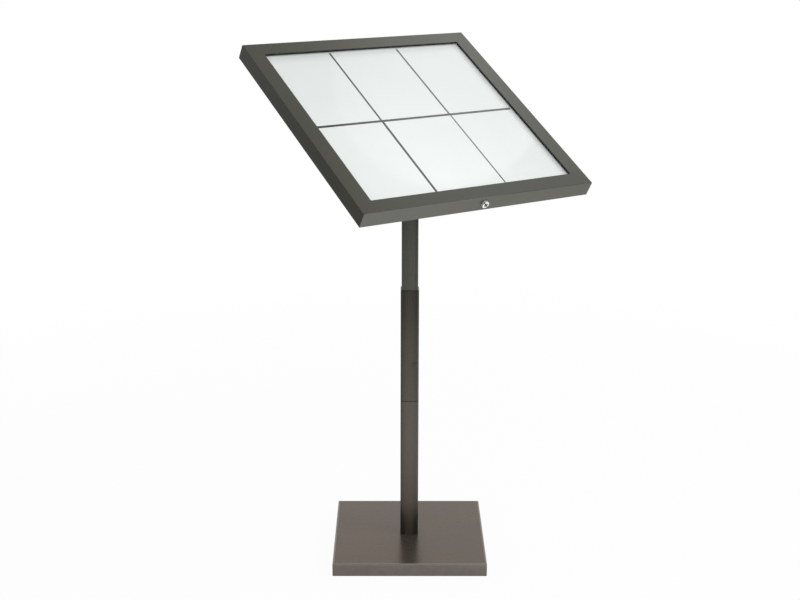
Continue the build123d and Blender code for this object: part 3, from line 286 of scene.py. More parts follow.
# %% [markdown]
# ## Dark cards
# Satin metal shows what stands round it. In an all-white room its edges vanish, so a photographer puts
# up black cards just outside the picture, and edges and side faces reflect those. These cards are seen
# by reflections only, so they take no light from the object and can't be seen themselves.

# %% Dark cards for the reflections
FADE_FROM, FADE_TO = 0.2, 0.5


def card(name, place, aim, width, height, dark=1.0):
    """A card of this size that fades out softly towards its rim."""
    towards = (Vector(aim) - Vector(place)).to_track_quat("Z", "Y")
    black = Finish(name)
    x, y, _ = black.spot(place, towards.to_euler()).parts()
    middle = (abs(x).drop(width * FADE_FROM, width * FADE_TO)
              * abs(y).drop(height * FADE_FROM, height * FADE_TO))
    cloth = black.node("ShaderNodeBsdfDiffuse", {}, {"Color": paint(0.01, 0.01, 0.01)})
    black.show(black.blend(middle * dark, black.node("ShaderNodeBsdfTransparent", {}, {}), cloth))
    shape = bmesh.new()
    bmesh.ops.create_grid(shape, x_segments=1, y_segments=1, size=0.5)
    bmesh.ops.scale(shape, vec=(width, height, 1.0), verts=shape.verts)
    bmesh.ops.transform(shape, matrix=Matrix.LocRotScale(place, towards, None), verts=shape.verts)
    piece = stage_piece(name, shape, black)
    piece.visible_camera = piece.visible_diffuse = False
    piece.visible_shadow = piece.visible_transmission = False
    print("card", name, width, "by", height)


card("left_card", place=(-2.6, 2.2, 0.6), aim=(0.0, 0.0, 1.1), width=3.6, height=4.2)
card("right_card", place=(2.5, -1.1, 0.5), aim=(0.0, 0.0, 0.6), width=2.0, height=2.4)
card("top_card", place=(-0.2, 0.1, 2.6), aim=(-0.2, 0.1, 1.2), width=2.6, height=3.0, dark=0.8)
card("floor_card", place=(-2.1, -3.05, 0.02), aim=(-2.1, -3.05, 1.0), width=4.6, height=4.2, dark=0.8)

# %% [markdown]
# ## The dark coat
# Case, post and base have the same sort of finish: a dark, slightly bronze satin coat on metal. It is
# not even. Slow clouds of a warmer and a greener grey run through it, a fine grain follows the length of
# each member, and edges are painted a little paler, partly as wear and partly as painted highlights. Some
# places are painted darker as shade. A flat grey would look like plastic, so the clouds feed the colour,
# the grain feeds roughness and relief, the paler edges are worked out from the distance to the piece's own
# edges, and the painted shade from places on the piece.

# %% The coat itself
CLOUD_SIZE, MOTTLE_SIZE, GRAIN_SIZE, SPECK_SIZE = 0.11, 0.012, 0.0011, 0.0024
GRAIN_DEPTH = 0.00002
# The paler colour of worn edges and of painted highlights, and the black of dark joints and of painted
# shade.
RUBBED_AND_LIT = paint(0.170, 0.160, 0.143)
JOINT_AND_SHADE_BLACK = paint(0.006, 0.006, 0.005)


def coat(finish, spot, warm, cool, rough, grain_stretch, rub, dark, sheen=WHITE, ior=1.5, grainy=1.0,
         rubbed=RUBBED_AND_LIT):
    """A dark satin coat. Its paler share is 1 where wear and painted highlights give it its paler colour,
    and dark is 1 at black joints and painted shade. sheen tints its reflections, and grainy is the share of
    the usual grain."""
    cloud = finish.noise(spot, CLOUD_SIZE, 3.0)
    mottle = finish.noise(spot, MOTTLE_SIZE, 3.0)
    grain = finish.noise(spot, GRAIN_SIZE, 2.0, grain_stretch)
    speck = finish.noise(spot, SPECK_SIZE, 1.0)
    tint = finish.mix(warm, cool, (cloud * 0.6 + mottle * 0.4).rise(0.36, 0.64))
    freckled = finish.mix(tint, paint(*cool[:3], 1.35), speck.rise(0.52, 0.74) * 0.6)
    worn_and_lit = finish.mix(freckled, rubbed, (rub * (0.65 + mottle * 0.5)).least(1.0))
    return finish.surface({
        "Base Color": finish.mix(worn_and_lit, JOINT_AND_SHADE_BLACK, dark),
        "Roughness": rough + (grain - 0.5) * (grainy * 0.20) + (cloud - 0.5) * 0.08 - rub * 0.06,
        "IOR": ior,
        "Specular Tint": sheen,
        "Normal": finish.bump(grain * 0.7 + speck * 0.3, grainy * GRAIN_DEPTH),
    })


print("rubbed coat is", round(RUBBED_AND_LIT[1] / JOINT_AND_SHADE_BLACK[1]), "times as bright as grimy coat")

# %% [markdown]
# ## Coat on the door frame
# Each member of the frame is met by two others in a mitre, and the eye finds that joint as a hair-thin
# dark line. The outer edges are paler, partly rubbed and partly a painted highlight. The rest is painted
# light and shade: the lip round the window is black as painted shade, the side walls have painted shade
# that grows up the slope, the near member's face is a little darker as painted shade, and the far left of
# the face is painted paler as light. On the near member, right of the middle, the bend has painted shade
# instead of the paler edge, and the skirt under it is painted a little paler as light. All of this is a
# matter of distance from the edges, so no picture is needed.

# %% Coat on the head's frame
HEAD_WIDTH, HEAD_LENGTH, HEAD_DEPTH = 0.710, 0.674, 0.041
FACE_WIDTH = 0.044
AT_A_FACE = (0.0004, 0.0012)
FRAME_WARM, FRAME_COOL = paint(0.056, 0.053, 0.034), paint(0.049, 0.055, 0.038)
ALONG_RAIL, ALONG_STILE = (0.03, 1.0, 1.0), (1.0, 0.03, 1.0)


def head_coat(name, grain_stretch):
    """The coat on the rails or on the stiles of the door frame, by the direction of the grain."""
    finish = Finish(name)
    spot = finish.head_spot()
    x, y, z = spot.parts()
    side, end = HEAD_WIDTH / 2 - abs(x), HEAD_LENGTH / 2 - abs(y)
    inward, down = side.least(end), HEAD_DEPTH - z
    near_right = x.rise(-0.05, 0.15) * y.drop(-0.1, 0.0)

    # Paler outer edges, lower edges and corners: partly wear, partly painted highlight.
    outer_edge = (inward + down).drop(0.0005, 0.0020) * (1 - near_right) * 0.25
    lower_edge = (inward + abs(z)).drop(0.0003, 0.0014) * 0.3
    corner = (side + end).drop(0.0004, 0.0020) * 0.4
    # Painted light: the far left of the face and the near skirt right of the middle are painted paler.
    painted_far_left_light = (y - x * 0.7).rise(0.1, 0.6) * down.drop(*AT_A_FACE) * 0.22
    painted_skirt_light = end.drop(*AT_A_FACE) * near_right * 0.10
    rub = outer_edge.most(lower_edge).most(corner).most(painted_far_left_light).most(painted_skirt_light)

    mitre = abs(side - end).drop(0.0001, 0.0003) * 0.8
    # Painted shade: the black lip, the side walls, the near bend and the near member's face.
    lip_shade = inward.rise(FACE_WIDTH - 0.0008, FACE_WIDTH - 0.0002)
    side_wall_shade = side.drop(0.0003, 0.0012) * (0.39 + y * 0.80)
    crease_shade = (end + down * 4).drop(0.0010, 0.0045) * near_right * 0.9
    near_face_shade = end.rise(*AT_A_FACE) * y.drop(-0.29, -0.28) * x.rise(-0.3, -0.05) * 0.2
    dark = mitre.most(lip_shade).most(side_wall_shade).most(crease_shade).most(near_face_shade)
    return coat(finish, spot, FRAME_WARM, FRAME_COOL, 0.34, grain_stretch, rub, dark)


rail_coat = head_coat("rail_coat", ALONG_RAIL)
stile_coat = head_coat("stile_coat", ALONG_STILE)

# %% [markdown]
# ## Coat on the post and the base
# The base is browner, and so smooth that the tube's foot is mirrored in it. Its bends carry a painted grey
# highlight, its sides are painted a paler grey as light, and its foot has painted shade. The tubes have
# painted shade towards their corners, at the foot and under the rim, and the mast is greener and has
# painted shade that is darkest under the case. Each piece has a function of its own that gives these marks,
# and one function puts the coat on.

# %% Marks on the base
BASE_SIDE, BASE_HEIGHT = 0.420, 0.038
BASE_WARM, BASE_COOL = paint(0.052, 0.040, 0.030), paint(0.046, 0.041, 0.034)
BASE_SHEEN, SCUFF_AND_LIGHT_GREY = paint(1.0, 0.66, 0.40), paint(0.170, 0.177, 0.170)
ALONG_BASE = (0.05, 1.0, 1.0)


def upright_coat(name, warm, cool, rough, grain_stretch, marks):
    """The coat on a piece that follows the post. marks gives the paler places, worn and painted as
    highlight, and the painted shade.
    """
    finish = Finish(name)
    spot = finish.spot(turn=(0.0, 0.0, POST_TURN))
    return coat(finish, spot, warm, cool, rough, grain_stretch, **marks(*spot.parts()))


def base_marks(x, y, z):
    """Painted highlights on the bends round the top, paler corners, sides painted paler as light, painted
    shade along the foot, and a reddish sheen.
    """
    side, end = BASE_SIDE / 2 - abs(x), BASE_SIDE / 2 - abs(y)
    # Painted highlight along the bends round the top, and paler corners, partly wear and partly highlight.
    bend_highlight = (side.least(end) + abs(BASE_HEIGHT - z)).drop(0.0030, 0.0056) * 1.8
    corner = (side + end).drop(0.001, 0.004) * 0.6
    # The sides are painted paler as light, and the foot is darker as painted shade.
    painted_side_light = side.least(end).drop(0.0002, 0.0012) * 0.80
    return {"rub": bend_highlight.most(corner).most(painted_side_light), "dark": z.drop(0.002, 0.004) * 0.3,
            "sheen": BASE_SHEEN, "ior": 1.62, "grainy": 0.2, "rubbed": SCUFF_AND_LIGHT_GREY}


base_coat = upright_coat("base_coat", BASE_WARM, BASE_COOL, 0.27, ALONG_BASE, base_marks)

# %% Marks on the tubes and the mast
TUBE_SIDE, MAST_SIDE = 0.050, 0.045
SEAM_HEIGHT = 0.438
FOOT_ZONE, UNDER_RIM_SHADE, RIM_ZONE, UNDER_CASE = (0.05, 0.14), (0.58, 0.76), (0.64, 0.76), (0.82, 1.12)
DARKEST = 0.9
TUBE_WARM, TUBE_COOL = paint(0.069, 0.052, 0.034), paint(0.061, 0.051, 0.039)
MAST_WARM, MAST_COOL = paint(0.076, 0.074, 0.058), paint(0.071, 0.075, 0.058)
UPRIGHT = (1.0, 1.0, 0.03)


def tube_marks(x, y, z):
    """Painted shade towards the tubes' corners, at the foot, on the upper tube and below the rim, with
    paler edges.
    """
    worn_and_lit = (TUBE_SIDE - abs(x) - abs(y)).drop(0.0028, 0.0040) * 0.10 + z.rise(*RIM_ZONE) * 0.06
    # Painted shade on each face towards its corners, as on a rounded tube.
    flank_shade = abs(x).least(abs(y)).rise(0.004, 0.024) * 0.45
    upper_tube_shade = z.rise(SEAM_HEIGHT, SEAM_HEIGHT + 0.002) * 0.22
    # Painted shade on the upper tube, below the rim and at the foot.
    painted_shade = upper_tube_shade + z.rise(*UNDER_RIM_SHADE) * 0.40 + z.drop(*FOOT_ZONE) * (0.4 + flank_shade)
    return {"rub": worn_and_lit, "dark": (painted_shade + flank_shade).least(DARKEST), "sheen": paint(1.0, 0.97, 0.93)}


def mast_marks(x, y, z):
    """Painted shade: a dark band on the right, a darker left side, and darkening towards the case."""
    worn_and_lit = (MAST_SIDE - abs(x) - abs(y)).drop(0.0020, 0.0040) * 0.12
    # Painted shade towards the case, in a band on the right and on the left side.
    shade_under_case = z.rise(*UNDER_CASE)
    right_band = abs(x).least(abs(y)).rise(0.010, 0.016) * (x + y).rise(-0.012, -0.005)
    band = right_band * (0.3 + shade_under_case * 0.4)
    dark = (shade_under_case * 0.62 + x.drop(-0.022, 0.006) * 0.3 + band).least(DARKEST)
    return {"rub": worn_and_lit, "dark": dark, "sheen": paint(0.96, 1.0, 0.95)}


tube_coat = upright_coat("tube_coat", TUBE_WARM, TUBE_COOL, 0.30, UPRIGHT, tube_marks)
mast_coat = upright_coat("mast_coat", MAST_WARM, MAST_COOL, 0.30, UPRIGHT, mast_marks)

# %% [markdown]
# ## Metals that stay bare
# Bolts and hinges are zinc plated, with a faint crystal pattern. The hidden plates and the post's sleeve
# are mill steel with scale on it. The channels round the light panel are drawn aluminium with long fine
# lines, bright at the sides and black anodised at the ends. The lock is chrome over brass, which is
# smooth but for hairline scratches, and its plug has lost most of its shine.

# %% Bare metals
LINE_SIZE = 0.0006


def bare_metal(name, dark, light, rough, cell, stretch, depth, metal=1.0):
    """Metal with crystals of the size cell, and lines that a stretch draws out to relief of this depth."""
    finish = Finish(name)
    spot = finish.head_spot()
    cells = finish.node("ShaderNodeTexVoronoi", {}, {"Vector": spot, "Scale": 1.0 / cell}, "Color")
    crystal = cells.parts()[0]
    lines = finish.noise(spot, LINE_SIZE, 3.0, stretch)
    return finish.surface({
        "Base Color": finish.mix(dark, light, (crystal * 0.5 + lines * 0.5).rise(0.25, 0.75)),
        "Roughness": rough + (lines - 0.5) * 0.2 + (crystal - 0.5) * 0.08,
        "Metallic": metal,
        "Normal": finish.bump(lines, depth),
    })


EVEN, ALONG_X, ALONG_Y = (1.0, 1.0, 1.0), (0.02, 1.0, 1.0), (1.0, 0.02, 1.0)
ROLLED, WIPED = (1.0, 0.1, 1.0), (1.0, 0.3, 1.0)
zinc = bare_metal("zinc", paint(0.42, 0.42, 0.40), paint(0.62, 0.62, 0.59),
                  rough=0.36, cell=0.0035, stretch=EVEN, depth=0.00003)
mill_steel = bare_metal("mill_steel", paint(0.16, 0.16, 0.165), paint(0.33, 0.32, 0.31),
                        rough=0.55, cell=0.012, stretch=ROLLED, depth=0.00006)
bright_rail = bare_metal("bright_rail", paint(0.56, 0.57, 0.58), paint(0.70, 0.71, 0.72),
                         rough=0.34, cell=0.02, stretch=ALONG_Y, depth=0.00003)
black_rail = bare_metal("black_rail", paint(0.018, 0.018, 0.019), paint(0.040, 0.040, 0.041),
                        rough=0.42, cell=0.02, stretch=ALONG_X, depth=0.00003)
chrome = bare_metal("chrome", paint(0.72, 0.72, 0.71), paint(0.82, 0.82, 0.81),
                    rough=0.26, cell=0.004, stretch=WIPED, depth=0.000006, metal=0.4)
dull_plug = bare_metal("dull_plug", paint(0.10, 0.10, 0.095), paint(0.22, 0.22, 0.21),
                       rough=0.36, cell=0.002, stretch=EVEN, depth=0.00002, metal=0.6)

# %% [markdown]
# ## Rubber, plastics and the case's inside
# The mat, the seals and the leads are black rubber with a fine sandy skin. The knob, the mast's plug and
# the power inlet are moulded nylon with a spark-eroded texture, and the friction washers are the same
# nylon uncoloured. The grid between the sheets is a dark grey plastic. The case behind the door has a
# coarse black powder coat, which comes out of the oven with the same kind of pebbled skin, so one
# function makes them all.

# %% Rubber, nylon and powder coat
LUMPS_IN_A_PATCH = 14


def pebbled(name, dark, light, rough, lump, depth):
    """A skin of pebbles of the size lump, with slow patches many lumps wide."""
    finish = Finish(name)
    spot = finish.spot()
    coarse, fine = finish.noise(spot, lump * LUMPS_IN_A_PATCH), finish.noise(spot, lump)
    return finish.surface({
        "Base Color": finish.mix(dark, light, (coarse * 0.6 + fine * 0.4).rise(0.3, 0.7)),
        "Roughness": rough + (fine - 0.5) * 0.18,
        "Normal": finish.bump(fine, depth),
    })


rubber = pebbled("rubber", paint(0.016, 0.016, 0.016), paint(0.034, 0.034, 0.033),
                 rough=0.72, lump=0.0009, depth=0.00012)
black_nylon = pebbled("black_nylon", paint(0.020, 0.020, 0.021), paint(0.040, 0.040, 0.040),
                      rough=0.50, lump=0.0007, depth=0.00008)
white_nylon = pebbled("white_nylon", paint(0.62, 0.61, 0.56), paint(0.74, 0.73, 0.69),
                      rough=0.48, lump=0.0007, depth=0.00005)
divider_grey = pebbled("divider_grey", paint(0.026, 0.029, 0.029), paint(0.040, 0.044, 0.044),
                       rough=0.60, lump=0.001, depth=0.00004)
case_black = pebbled("case_black", paint(0.026, 0.027, 0.025), paint(0.042, 0.043, 0.040),
                     rough=0.46, lump=0.0013, depth=0.00010)

# %% [markdown]
# ## Glazing beads
# The beads that hold the pane are black, and their lower edge stands close over the lit sheets. There the
# white field shines on them, so the eye sees a pale band that gets darker towards the pane. A ramp over
# the height of the bead gives that band at once, where traced light would need many samples.

# %% Beads
LIT_BELOW, BLACK_ABOVE = 0.0300, 0.0345
BEAD_GRAIN = 0.001
bead = Finish("lit_bead")
bead_spot = bead.head_spot()
bead_skin = bead.noise(bead_spot, BEAD_GRAIN)
bead_height = bead_spot.parts()[2]
bead_tone = bead.mix(paint(0.66, 0.67, 0.66), paint(0.020, 0.021, 0.020),
                     bead_height.rise(LIT_BELOW, BLACK_ABOVE))
lit_bead = bead.surface({
    "Base Color": bead.mix(bead_tone, paint(0.09, 0.09, 0.088), bead_skin.rise(0.5, 0.8) * 0.3),
    "Roughness": 0.5 + (bead_skin - 0.5) * 0.2,
    "Normal": bead.bump(bead_skin, 0.00004),
})

# %% [markdown]
# ## The lit field
# Light enters the panel from both sides and leaves through a white diffuser and the paper. It is a little
# weaker up the slope and to the right, painted shade darkens it under the frame's edges there, and the
# paper's fibres show as a faint unevenness. The paper glows by itself, because tracing the light through
# guide, diffuser and paper would cost far more than it shows.

# %% Paper, diffuser and light guide
UNEVEN_SIZE = 0.16
UNDER_FAR_RAIL, UNDER_RIGHT_STILE = (0.258, 0.294), (0.298, 0.312)
UNLIT = paint(0.12, 0.12, 0.12)


def lit_white(name, white, glow_near, glow_far, fibre_size, rough):
    """A white that glows, from glow_near at the near left corner to glow_far at the far right one, with
    painted shade under the far rail and the right stile.
    """
    finish = Finish(name)
    spot = finish.head_spot()
    x, y, _ = spot.parts()
    fibre = finish.noise(spot, fibre_size, 4.0)
    uneven = finish.noise(spot, UNEVEN_SIZE, 1.0)
    away = (x * 0.45 + y * 0.35 + (uneven - 0.5) * 0.1).rise(-0.20, 0.20)
    # Painted shade on the glow under the far rail and the right stile.
    far_edge_shade, right_edge_shade = y.rise(*UNDER_FAR_RAIL) * 0.35, x.rise(*UNDER_RIGHT_STILE) * 0.2
    lit = finish.mix(finish.mix(glow_near, glow_far, away), UNLIT, far_edge_shade.most(right_edge_shade))
    return finish.surface({
        "Base Color": finish.mix(paint(*white[:3], 0.95), white, fibre),
        "Roughness": rough + (fibre - 0.5) * 0.1,
        "Emission Color": finish.mix(lit, paint(*glow_near[:3], 0.9), (fibre - 0.4) * 0.4),
        "Emission Strength": 1.0,
        "Normal": finish.bump(fibre, 0.00003),
    })


paper = lit_white("paper", paint(0.51, 0.515, 0.51), paint(0.455, 0.46, 0.457), paint(0.325, 0.33, 0.326),
                  fibre_size=0.0012, rough=0.8)
diffuser = lit_white("diffuser", paint(0.62, 0.63, 0.63), paint(0.22, 0.24, 0.24), paint(0.18, 0.20, 0.20),
                     fibre_size=0.003, rough=0.6)
guide = lit_white("guide", paint(0.62, 0.66, 0.66), paint(0.30, 0.32, 0.32), paint(0.24, 0.26, 0.26),
                  fibre_size=0.004, rough=0.15)

# %% [markdown]
# ## LED boards
# Each strip is a white circuit board that stands along a side of the panel with its chips facing the
# light guide. A chip is a white block with a yellow phosphor window, and that window is painted here by
# place: a short patch in every 20 mm along the strip.

# %% LED boards
HALF_PITCH = 0.010
CHIP_HEIGHT = 0.0233
WINDOW_ENDS, WINDOW_SIDES = (0.0088, 0.0090), (0.0009, 0.0011)
BOARD_GRIT = 0.002
board = Finish("led_board")
board_spot = board.head_spot()
_, board_y, board_z = board_spot.parts()
pitch_place = board_y.maths("PINGPONG", board_y + HALF_PITCH, HALF_PITCH)
phosphor = pitch_place.rise(*WINDOW_ENDS) * abs(board_z - CHIP_HEIGHT).drop(*WINDOW_SIDES)
grit = board.noise(board_spot, BOARD_GRIT)
led_board = board.surface({
    "Base Color": board.mix(board.mix(paint(0.70, 0.70, 0.68), paint(0.80, 0.80, 0.78), grit),
                            paint(0.85, 0.66, 0.10), phosphor),
    "Roughness": 0.45 + (grit - 0.5) * 0.2,
    "Normal": board.bump(grit, 0.00004),
})

# %% [markdown]
# ## The window
# The pane is clear acrylic, three millimetres thick. Straight on it can hardly be seen, and towards the
# edges of the view it mirrors the room, which is what greys the dark lines between the sheets. A true
# refracting glass would block the lamps and leave noise on the paper, so this pane is transparent, and
# the Fresnel share of its outer side is a mirror.

# %% Pane
ACRYLIC_IOR = 1.49
SMEAR_SIZE = 0.09
pane = Finish("pane")
smear = pane.noise(pane.head_spot(), SMEAR_SIZE, 3.0)
mirror = pane.node("ShaderNodeBsdfPrincipled", {}, {
    "Base Color": paint(0.95, 0.97, 0.97), "Metallic": 1.0, "Roughness": 0.03 + smear * 0.05})
see_through = pane.node("ShaderNodeBsdfTransparent", {}, {"Color": paint(0.985, 0.995, 0.99)})
from_behind = pane.node("ShaderNodeNewGeometry", {}, {}, "Backfacing")
shine = pane.node("ShaderNodeFresnel", {}, {"IOR": ACRYLIC_IOR}) * (1 - from_behind)
clear_pane = pane.show(pane.blend(shine, see_through, mirror))

# %% [markdown]
# ## Dressing the CAD nodes
# Each node of the frame has a material slot in the record. One table turns slots into finishes, and a
# short list of exceptions gives some nodes a finish of their own, such as the stiles, whose grain runs
# the other way.

# %% Finishes for the nodes
SLOT_FINISH = {
    "post_paint": tube_coat, "head_paint": rail_coat, "case_paint": case_black, "raw_steel": mill_steel,
    "zinc_steel": zinc, "chrome_lock": chrome, "bright_rail": bright_rail, "dark_rail": black_rail,
    "black_rubber": rubber, "black_plastic": black_nylon, "white_nylon": white_nylon,
    "clear_pane": clear_pane, "light_guide": guide, "lit_white": diffuser, "sheet_white": paper,
    "divider_grey": divider_grey, "led_board": led_board,
}
NODE_FINISH = {
    "base_cover": base_coat, "mast_tube": mast_coat, "mast_cap": mast_coat, "swivel_yoke": mast_coat,
    "head_bracket": mast_coat, "door_stile_left": stile_coat, "door_stile_right": stile_coat,
    "glazing_beads": lit_bead, "lock_plug": dull_plug, "sleeve_screw": tube_coat,
}


def dress(piece, material):
    """Give a piece this material alone."""
    piece.data.materials.clear()
    piece.data.materials.append(material)


for subpart in frame["record"]["subparts"]:
    name = subpart["node"]
    dress(nodes[name], NODE_FINISH.get(name, SLOT_FINISH[subpart["material_slot"]]))
print("dressed", len(nodes), "nodes")

# %% [markdown]
# ## Loops that grow
# Screws, bolts, nuts and rivets are all stacks of rings. Spinning a profile makes the round ones, but a
# hex head is round in one place and six-sided in the next. So each fastener starts as one ring of 24
# points and grows by extruding its last loop to a new radius and height. A hexagon is the same loop with
# its radius set by the angle, and 24 points put a point on each of its corners.

# %% Rings and fasteners' loops
RING_POINTS = 24


def hexagon(flats):
    """The radius of a hexagon at an angle, from its width over two flats."""
    return lambda angle: flats / 2 / cos((angle + pi / 6) % (pi / 3) - pi / 6)


def set_ring(verts, radius, height):
    """Move points to a ring, each at its own angle."""
    for vert in verts:
        angle = atan2(vert.co.y, vert.co.x)
        reach = radius(angle) if callable(radius) else radius
        vert.co = (reach * cos(angle), reach * sin(angle), height)


def first_ring(shape, radius, height):
    """The ring that a fastener grows from, as edges."""
    verts = bmesh.ops.create_circle(shape, segments=RING_POINTS, radius=1.0)["verts"]
    set_ring(verts, radius, height)
    return list({edge for vert in verts for edge in vert.link_edges})


def grow(shape, loop, *rings):
    """Extrude a loop through a list of (radius, height) and return its last edges."""
    for radius, height in rings:
        made = bmesh.ops.extrude_edge_only(shape, edges=loop)["geom"]
        verts = {part for part in made if isinstance(part, bmesh.types.BMVert)}
        set_ring(verts, radius, height)
        loop = [part for part in made if isinstance(part, bmesh.types.BMEdge) and set(part.verts) <= verts]
    return loop


def close(shape, loop):
    """Fill a loop with one face."""
    bmesh.ops.edgeloop_fill(shape, edges=loop)


print("a 17 mm hexagon reaches", [round(hexagon(0.017)(angle), 5) for angle in (0.0, pi / 6)])

# %% Placing a new piece
MERGE_DISTANCE = 1e-6
SHARP_ANGLE = radians(32)


def placed(shape, place):
    """A shape, moved to its place."""
    bmesh.ops.transform(shape, matrix=place, verts=shape.verts)
    return shape


def repeated(make, places):
    """One bmesh with a copy of a shape at each place."""
    whole = bmesh.new()
    copy = bpy.data.meshes.new("copy")
    for place in places:
        single = placed(make(), place)
        single.to_mesh(copy)
        single.free()
        whole.from_mesh(copy)
    bpy.data.meshes.remove(copy)
    return whole


def new_piece(name, shape, material, body, slot, *replaced):
    """Merge and turn out a shape, dress it, and let it ride on a body, in place of CAD nodes if any."""
    bmesh.ops.remove_doubles(shape, verts=shape.verts, dist=MERGE_DISTANCE)
    bmesh.ops.recalc_face_normals(shape, faces=shape.faces)
    data = bpy.data.meshes.new(name)
    shape.to_mesh(data)
    shape.free()
    data.shade_smooth()
    data.set_sharp_from_angle(angle=SHARP_ANGLE)
    piece = bpy.data.objects.new(name, data)
    bpy.context.scene.collection.objects.link(piece)
    dress(piece, material)
    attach(piece, body)
    if replaced:
        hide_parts(*replaced)
    print("piece", name, len(data.polygons), "faces on", body)


# %% [markdown]
# ## Button-head screws
# Four screws hold the bracket to the case, and a row of smaller ones holds the back panel to the case's
# channels. Both are button heads: a low dome with a hexagon socket, and the point of the drill at the
# socket's bottom. The CAD model has plain discs for the bracket's screws and none for the panel's.

# %% Shape of a button-head screw
DOME_ANGLES = (0.0, 0.35, 0.65, 0.85, 1.0)
STRAIGHT_SHARE = 0.25
MOUTH_SHARE, MOUTH_DEPTH = 0.62, 0.0002
POINT_SHARE, POINT_LENGTH = 0.7, 0.0006


def button_screw(radius, height, socket, shank_radius, shank):
    """A domed head on z = 0 that points up, with its shank below."""
    shape = bmesh.new()
    start = first_ring(shape, radius, 0.0)
    rise, highest = 1 - STRAIGHT_SHARE, sin(DOME_ANGLES[-1])
    dome = [(radius * cos(angle), height * (STRAIGHT_SHARE + rise * sin(angle) / highest))
            for angle in DOME_ANGLES]
    mouth = [(socket * MOUTH_SHARE, height), (hexagon(socket), height - MOUTH_DEPTH)]
    drilled = [(hexagon(socket), height * 0.35), (socket * 0.12, height * 0.25)]
    close(shape, grow(shape, start, *dome, *mouth, *drilled))
    point = [(shank_radius, -shank), (shank_radius * POINT_SHARE, -shank - POINT_LENGTH)]
    close(shape, grow(shape, start, (shank_radius, 0.0), *point))
    return shape


# %% Screws on the back
def on_back(x, y, z=0.0):
    """A place on the head's back, with z pointing out of it."""
    return HEAD @ Matrix.Translation((x, y, z)) @ Matrix.Rotation(pi, 4, "X")


BRACKET_X, BRACKET_Y, BRACKET_PLATE = 0.055, 0.040, 0.004
FLANGE_X, FLANGE_Y = 0.34525, 0.32725
BRACKET_PLACES = [on_back(x, y, -BRACKET_PLATE)
                  for x in (-BRACKET_X, BRACKET_X) for y in (-BRACKET_Y, BRACKET_Y)]
NEAR_ROW = [on_back(x, -FLANGE_Y) for x in (-0.30, -0.18, -0.06, 0.06, 0.18, 0.30)]
FAR_ROW = [on_back(x, FLANGE_Y) for x in (-0.32, -0.12, 0.12, 0.32)]
SIDE_ROWS = [on_back(x, y) for x in (-FLANGE_X, FLANGE_X) for y in (-0.24, -0.12, 0.0, 0.12, 0.24)]


def bracket_screw():
    return button_screw(radius=0.00525, height=0.0033, socket=0.004, shank_radius=0.003, shank=0.0094)


def panel_screw():
    return button_screw(radius=0.0032, height=0.0018, socket=0.002, shank_radius=0.0015, shank=0.003)


new_piece("bracket_button_screws", repeated(bracket_screw, BRACKET_PLACES),
          zinc, "head", "zinc_steel", "bracket_screws")
new_piece("back_panel_screws", repeated(panel_screw, NEAR_ROW + FAR_ROW + SIDE_ROWS),
          zinc, "head", "zinc_steel")

# %% [markdown]
# ## Hexagon bolts and a lock nut
# The tilt knuckle turns on a bolt with a lock nut, the swivel on a second bolt, and a third one holds the
# base to the post. A cut hexagon looks wrong without the cone that takes off its corners, and that cone
# leaves the curved edges that everyone knows from a real bolt. Here the upper loop of the head is lowered
# by its own distance from the cone. The thread is a row of rings, since at this size a helix can't be
# told from them.

# %% Shapes of bolts and nut
FACE_SHARE = 0.475
CONE_SLOPE = tan(radians(30))
PITCH_SHARE, ROOT_SHARE, END_SHARE = 0.3, 0.87, 0.85
SHOULDER_SHARE = 0.72


def turn_off_corners(loop, face):
    """Lower the points of a hexagon loop to a 30 degree cone that starts at the radius of its face."""
    for vert in {vert for edge in loop for vert in edge.verts}:
        vert.co.z -= (vert.co.xy.length - face) * CONE_SLOPE


def hexagon_bolt(flats, head, radius, shank, thread):
    """A bolt whose head stands on z = 0, with its shank below and a thread at its end."""
    shape = bmesh.new()
    start = first_ring(shape, hexagon(flats), 0.0)
    top = grow(shape, start, (hexagon(flats), head))
    face = flats * FACE_SHARE
    turn_off_corners(top, face)
    close(shape, grow(shape, top, (face, head)))
    turns = int(thread / (radius * PITCH_SHARE))
    pitch = thread / turns
    rings = [(radius, 0.0), (radius, thread - shank)]
    for turn in range(turns):
        groove, crest = thread - shank - (turn + 0.5) * pitch, thread - shank - (turn + 1) * pitch
        rings += [(radius * ROOT_SHARE, groove), (radius, crest)]
    rings[-1] = (radius * END_SHARE, -shank)
    close(shape, grow(shape, start, *rings))
    return shape


def lock_nut(flats, height, bore):
    """A nut on z = 0 with the rounded collar that holds its nylon ring."""
    shape = bmesh.new()
    start = first_ring(shape, hexagon(flats), 0.0)
    shoulder = height * SHOULDER_SHARE
    top = grow(shape, start, (hexagon(flats), shoulder))
    turn_off_corners(top, flats * FACE_SHARE)
    collar = [(flats * 0.46, shoulder), (flats * 0.45, height * 0.9), (flats * 0.41, height)]
    inside = [(bore + 0.0010, height), (bore + 0.0008, height * 0.9), (bore, height * 0.88)]
    mouth = grow(shape, top, *collar, *inside)
    bmesh.ops.bridge_loops(shape, edges=mouth + grow(shape, start, (bore, 0.0)))
    return shape


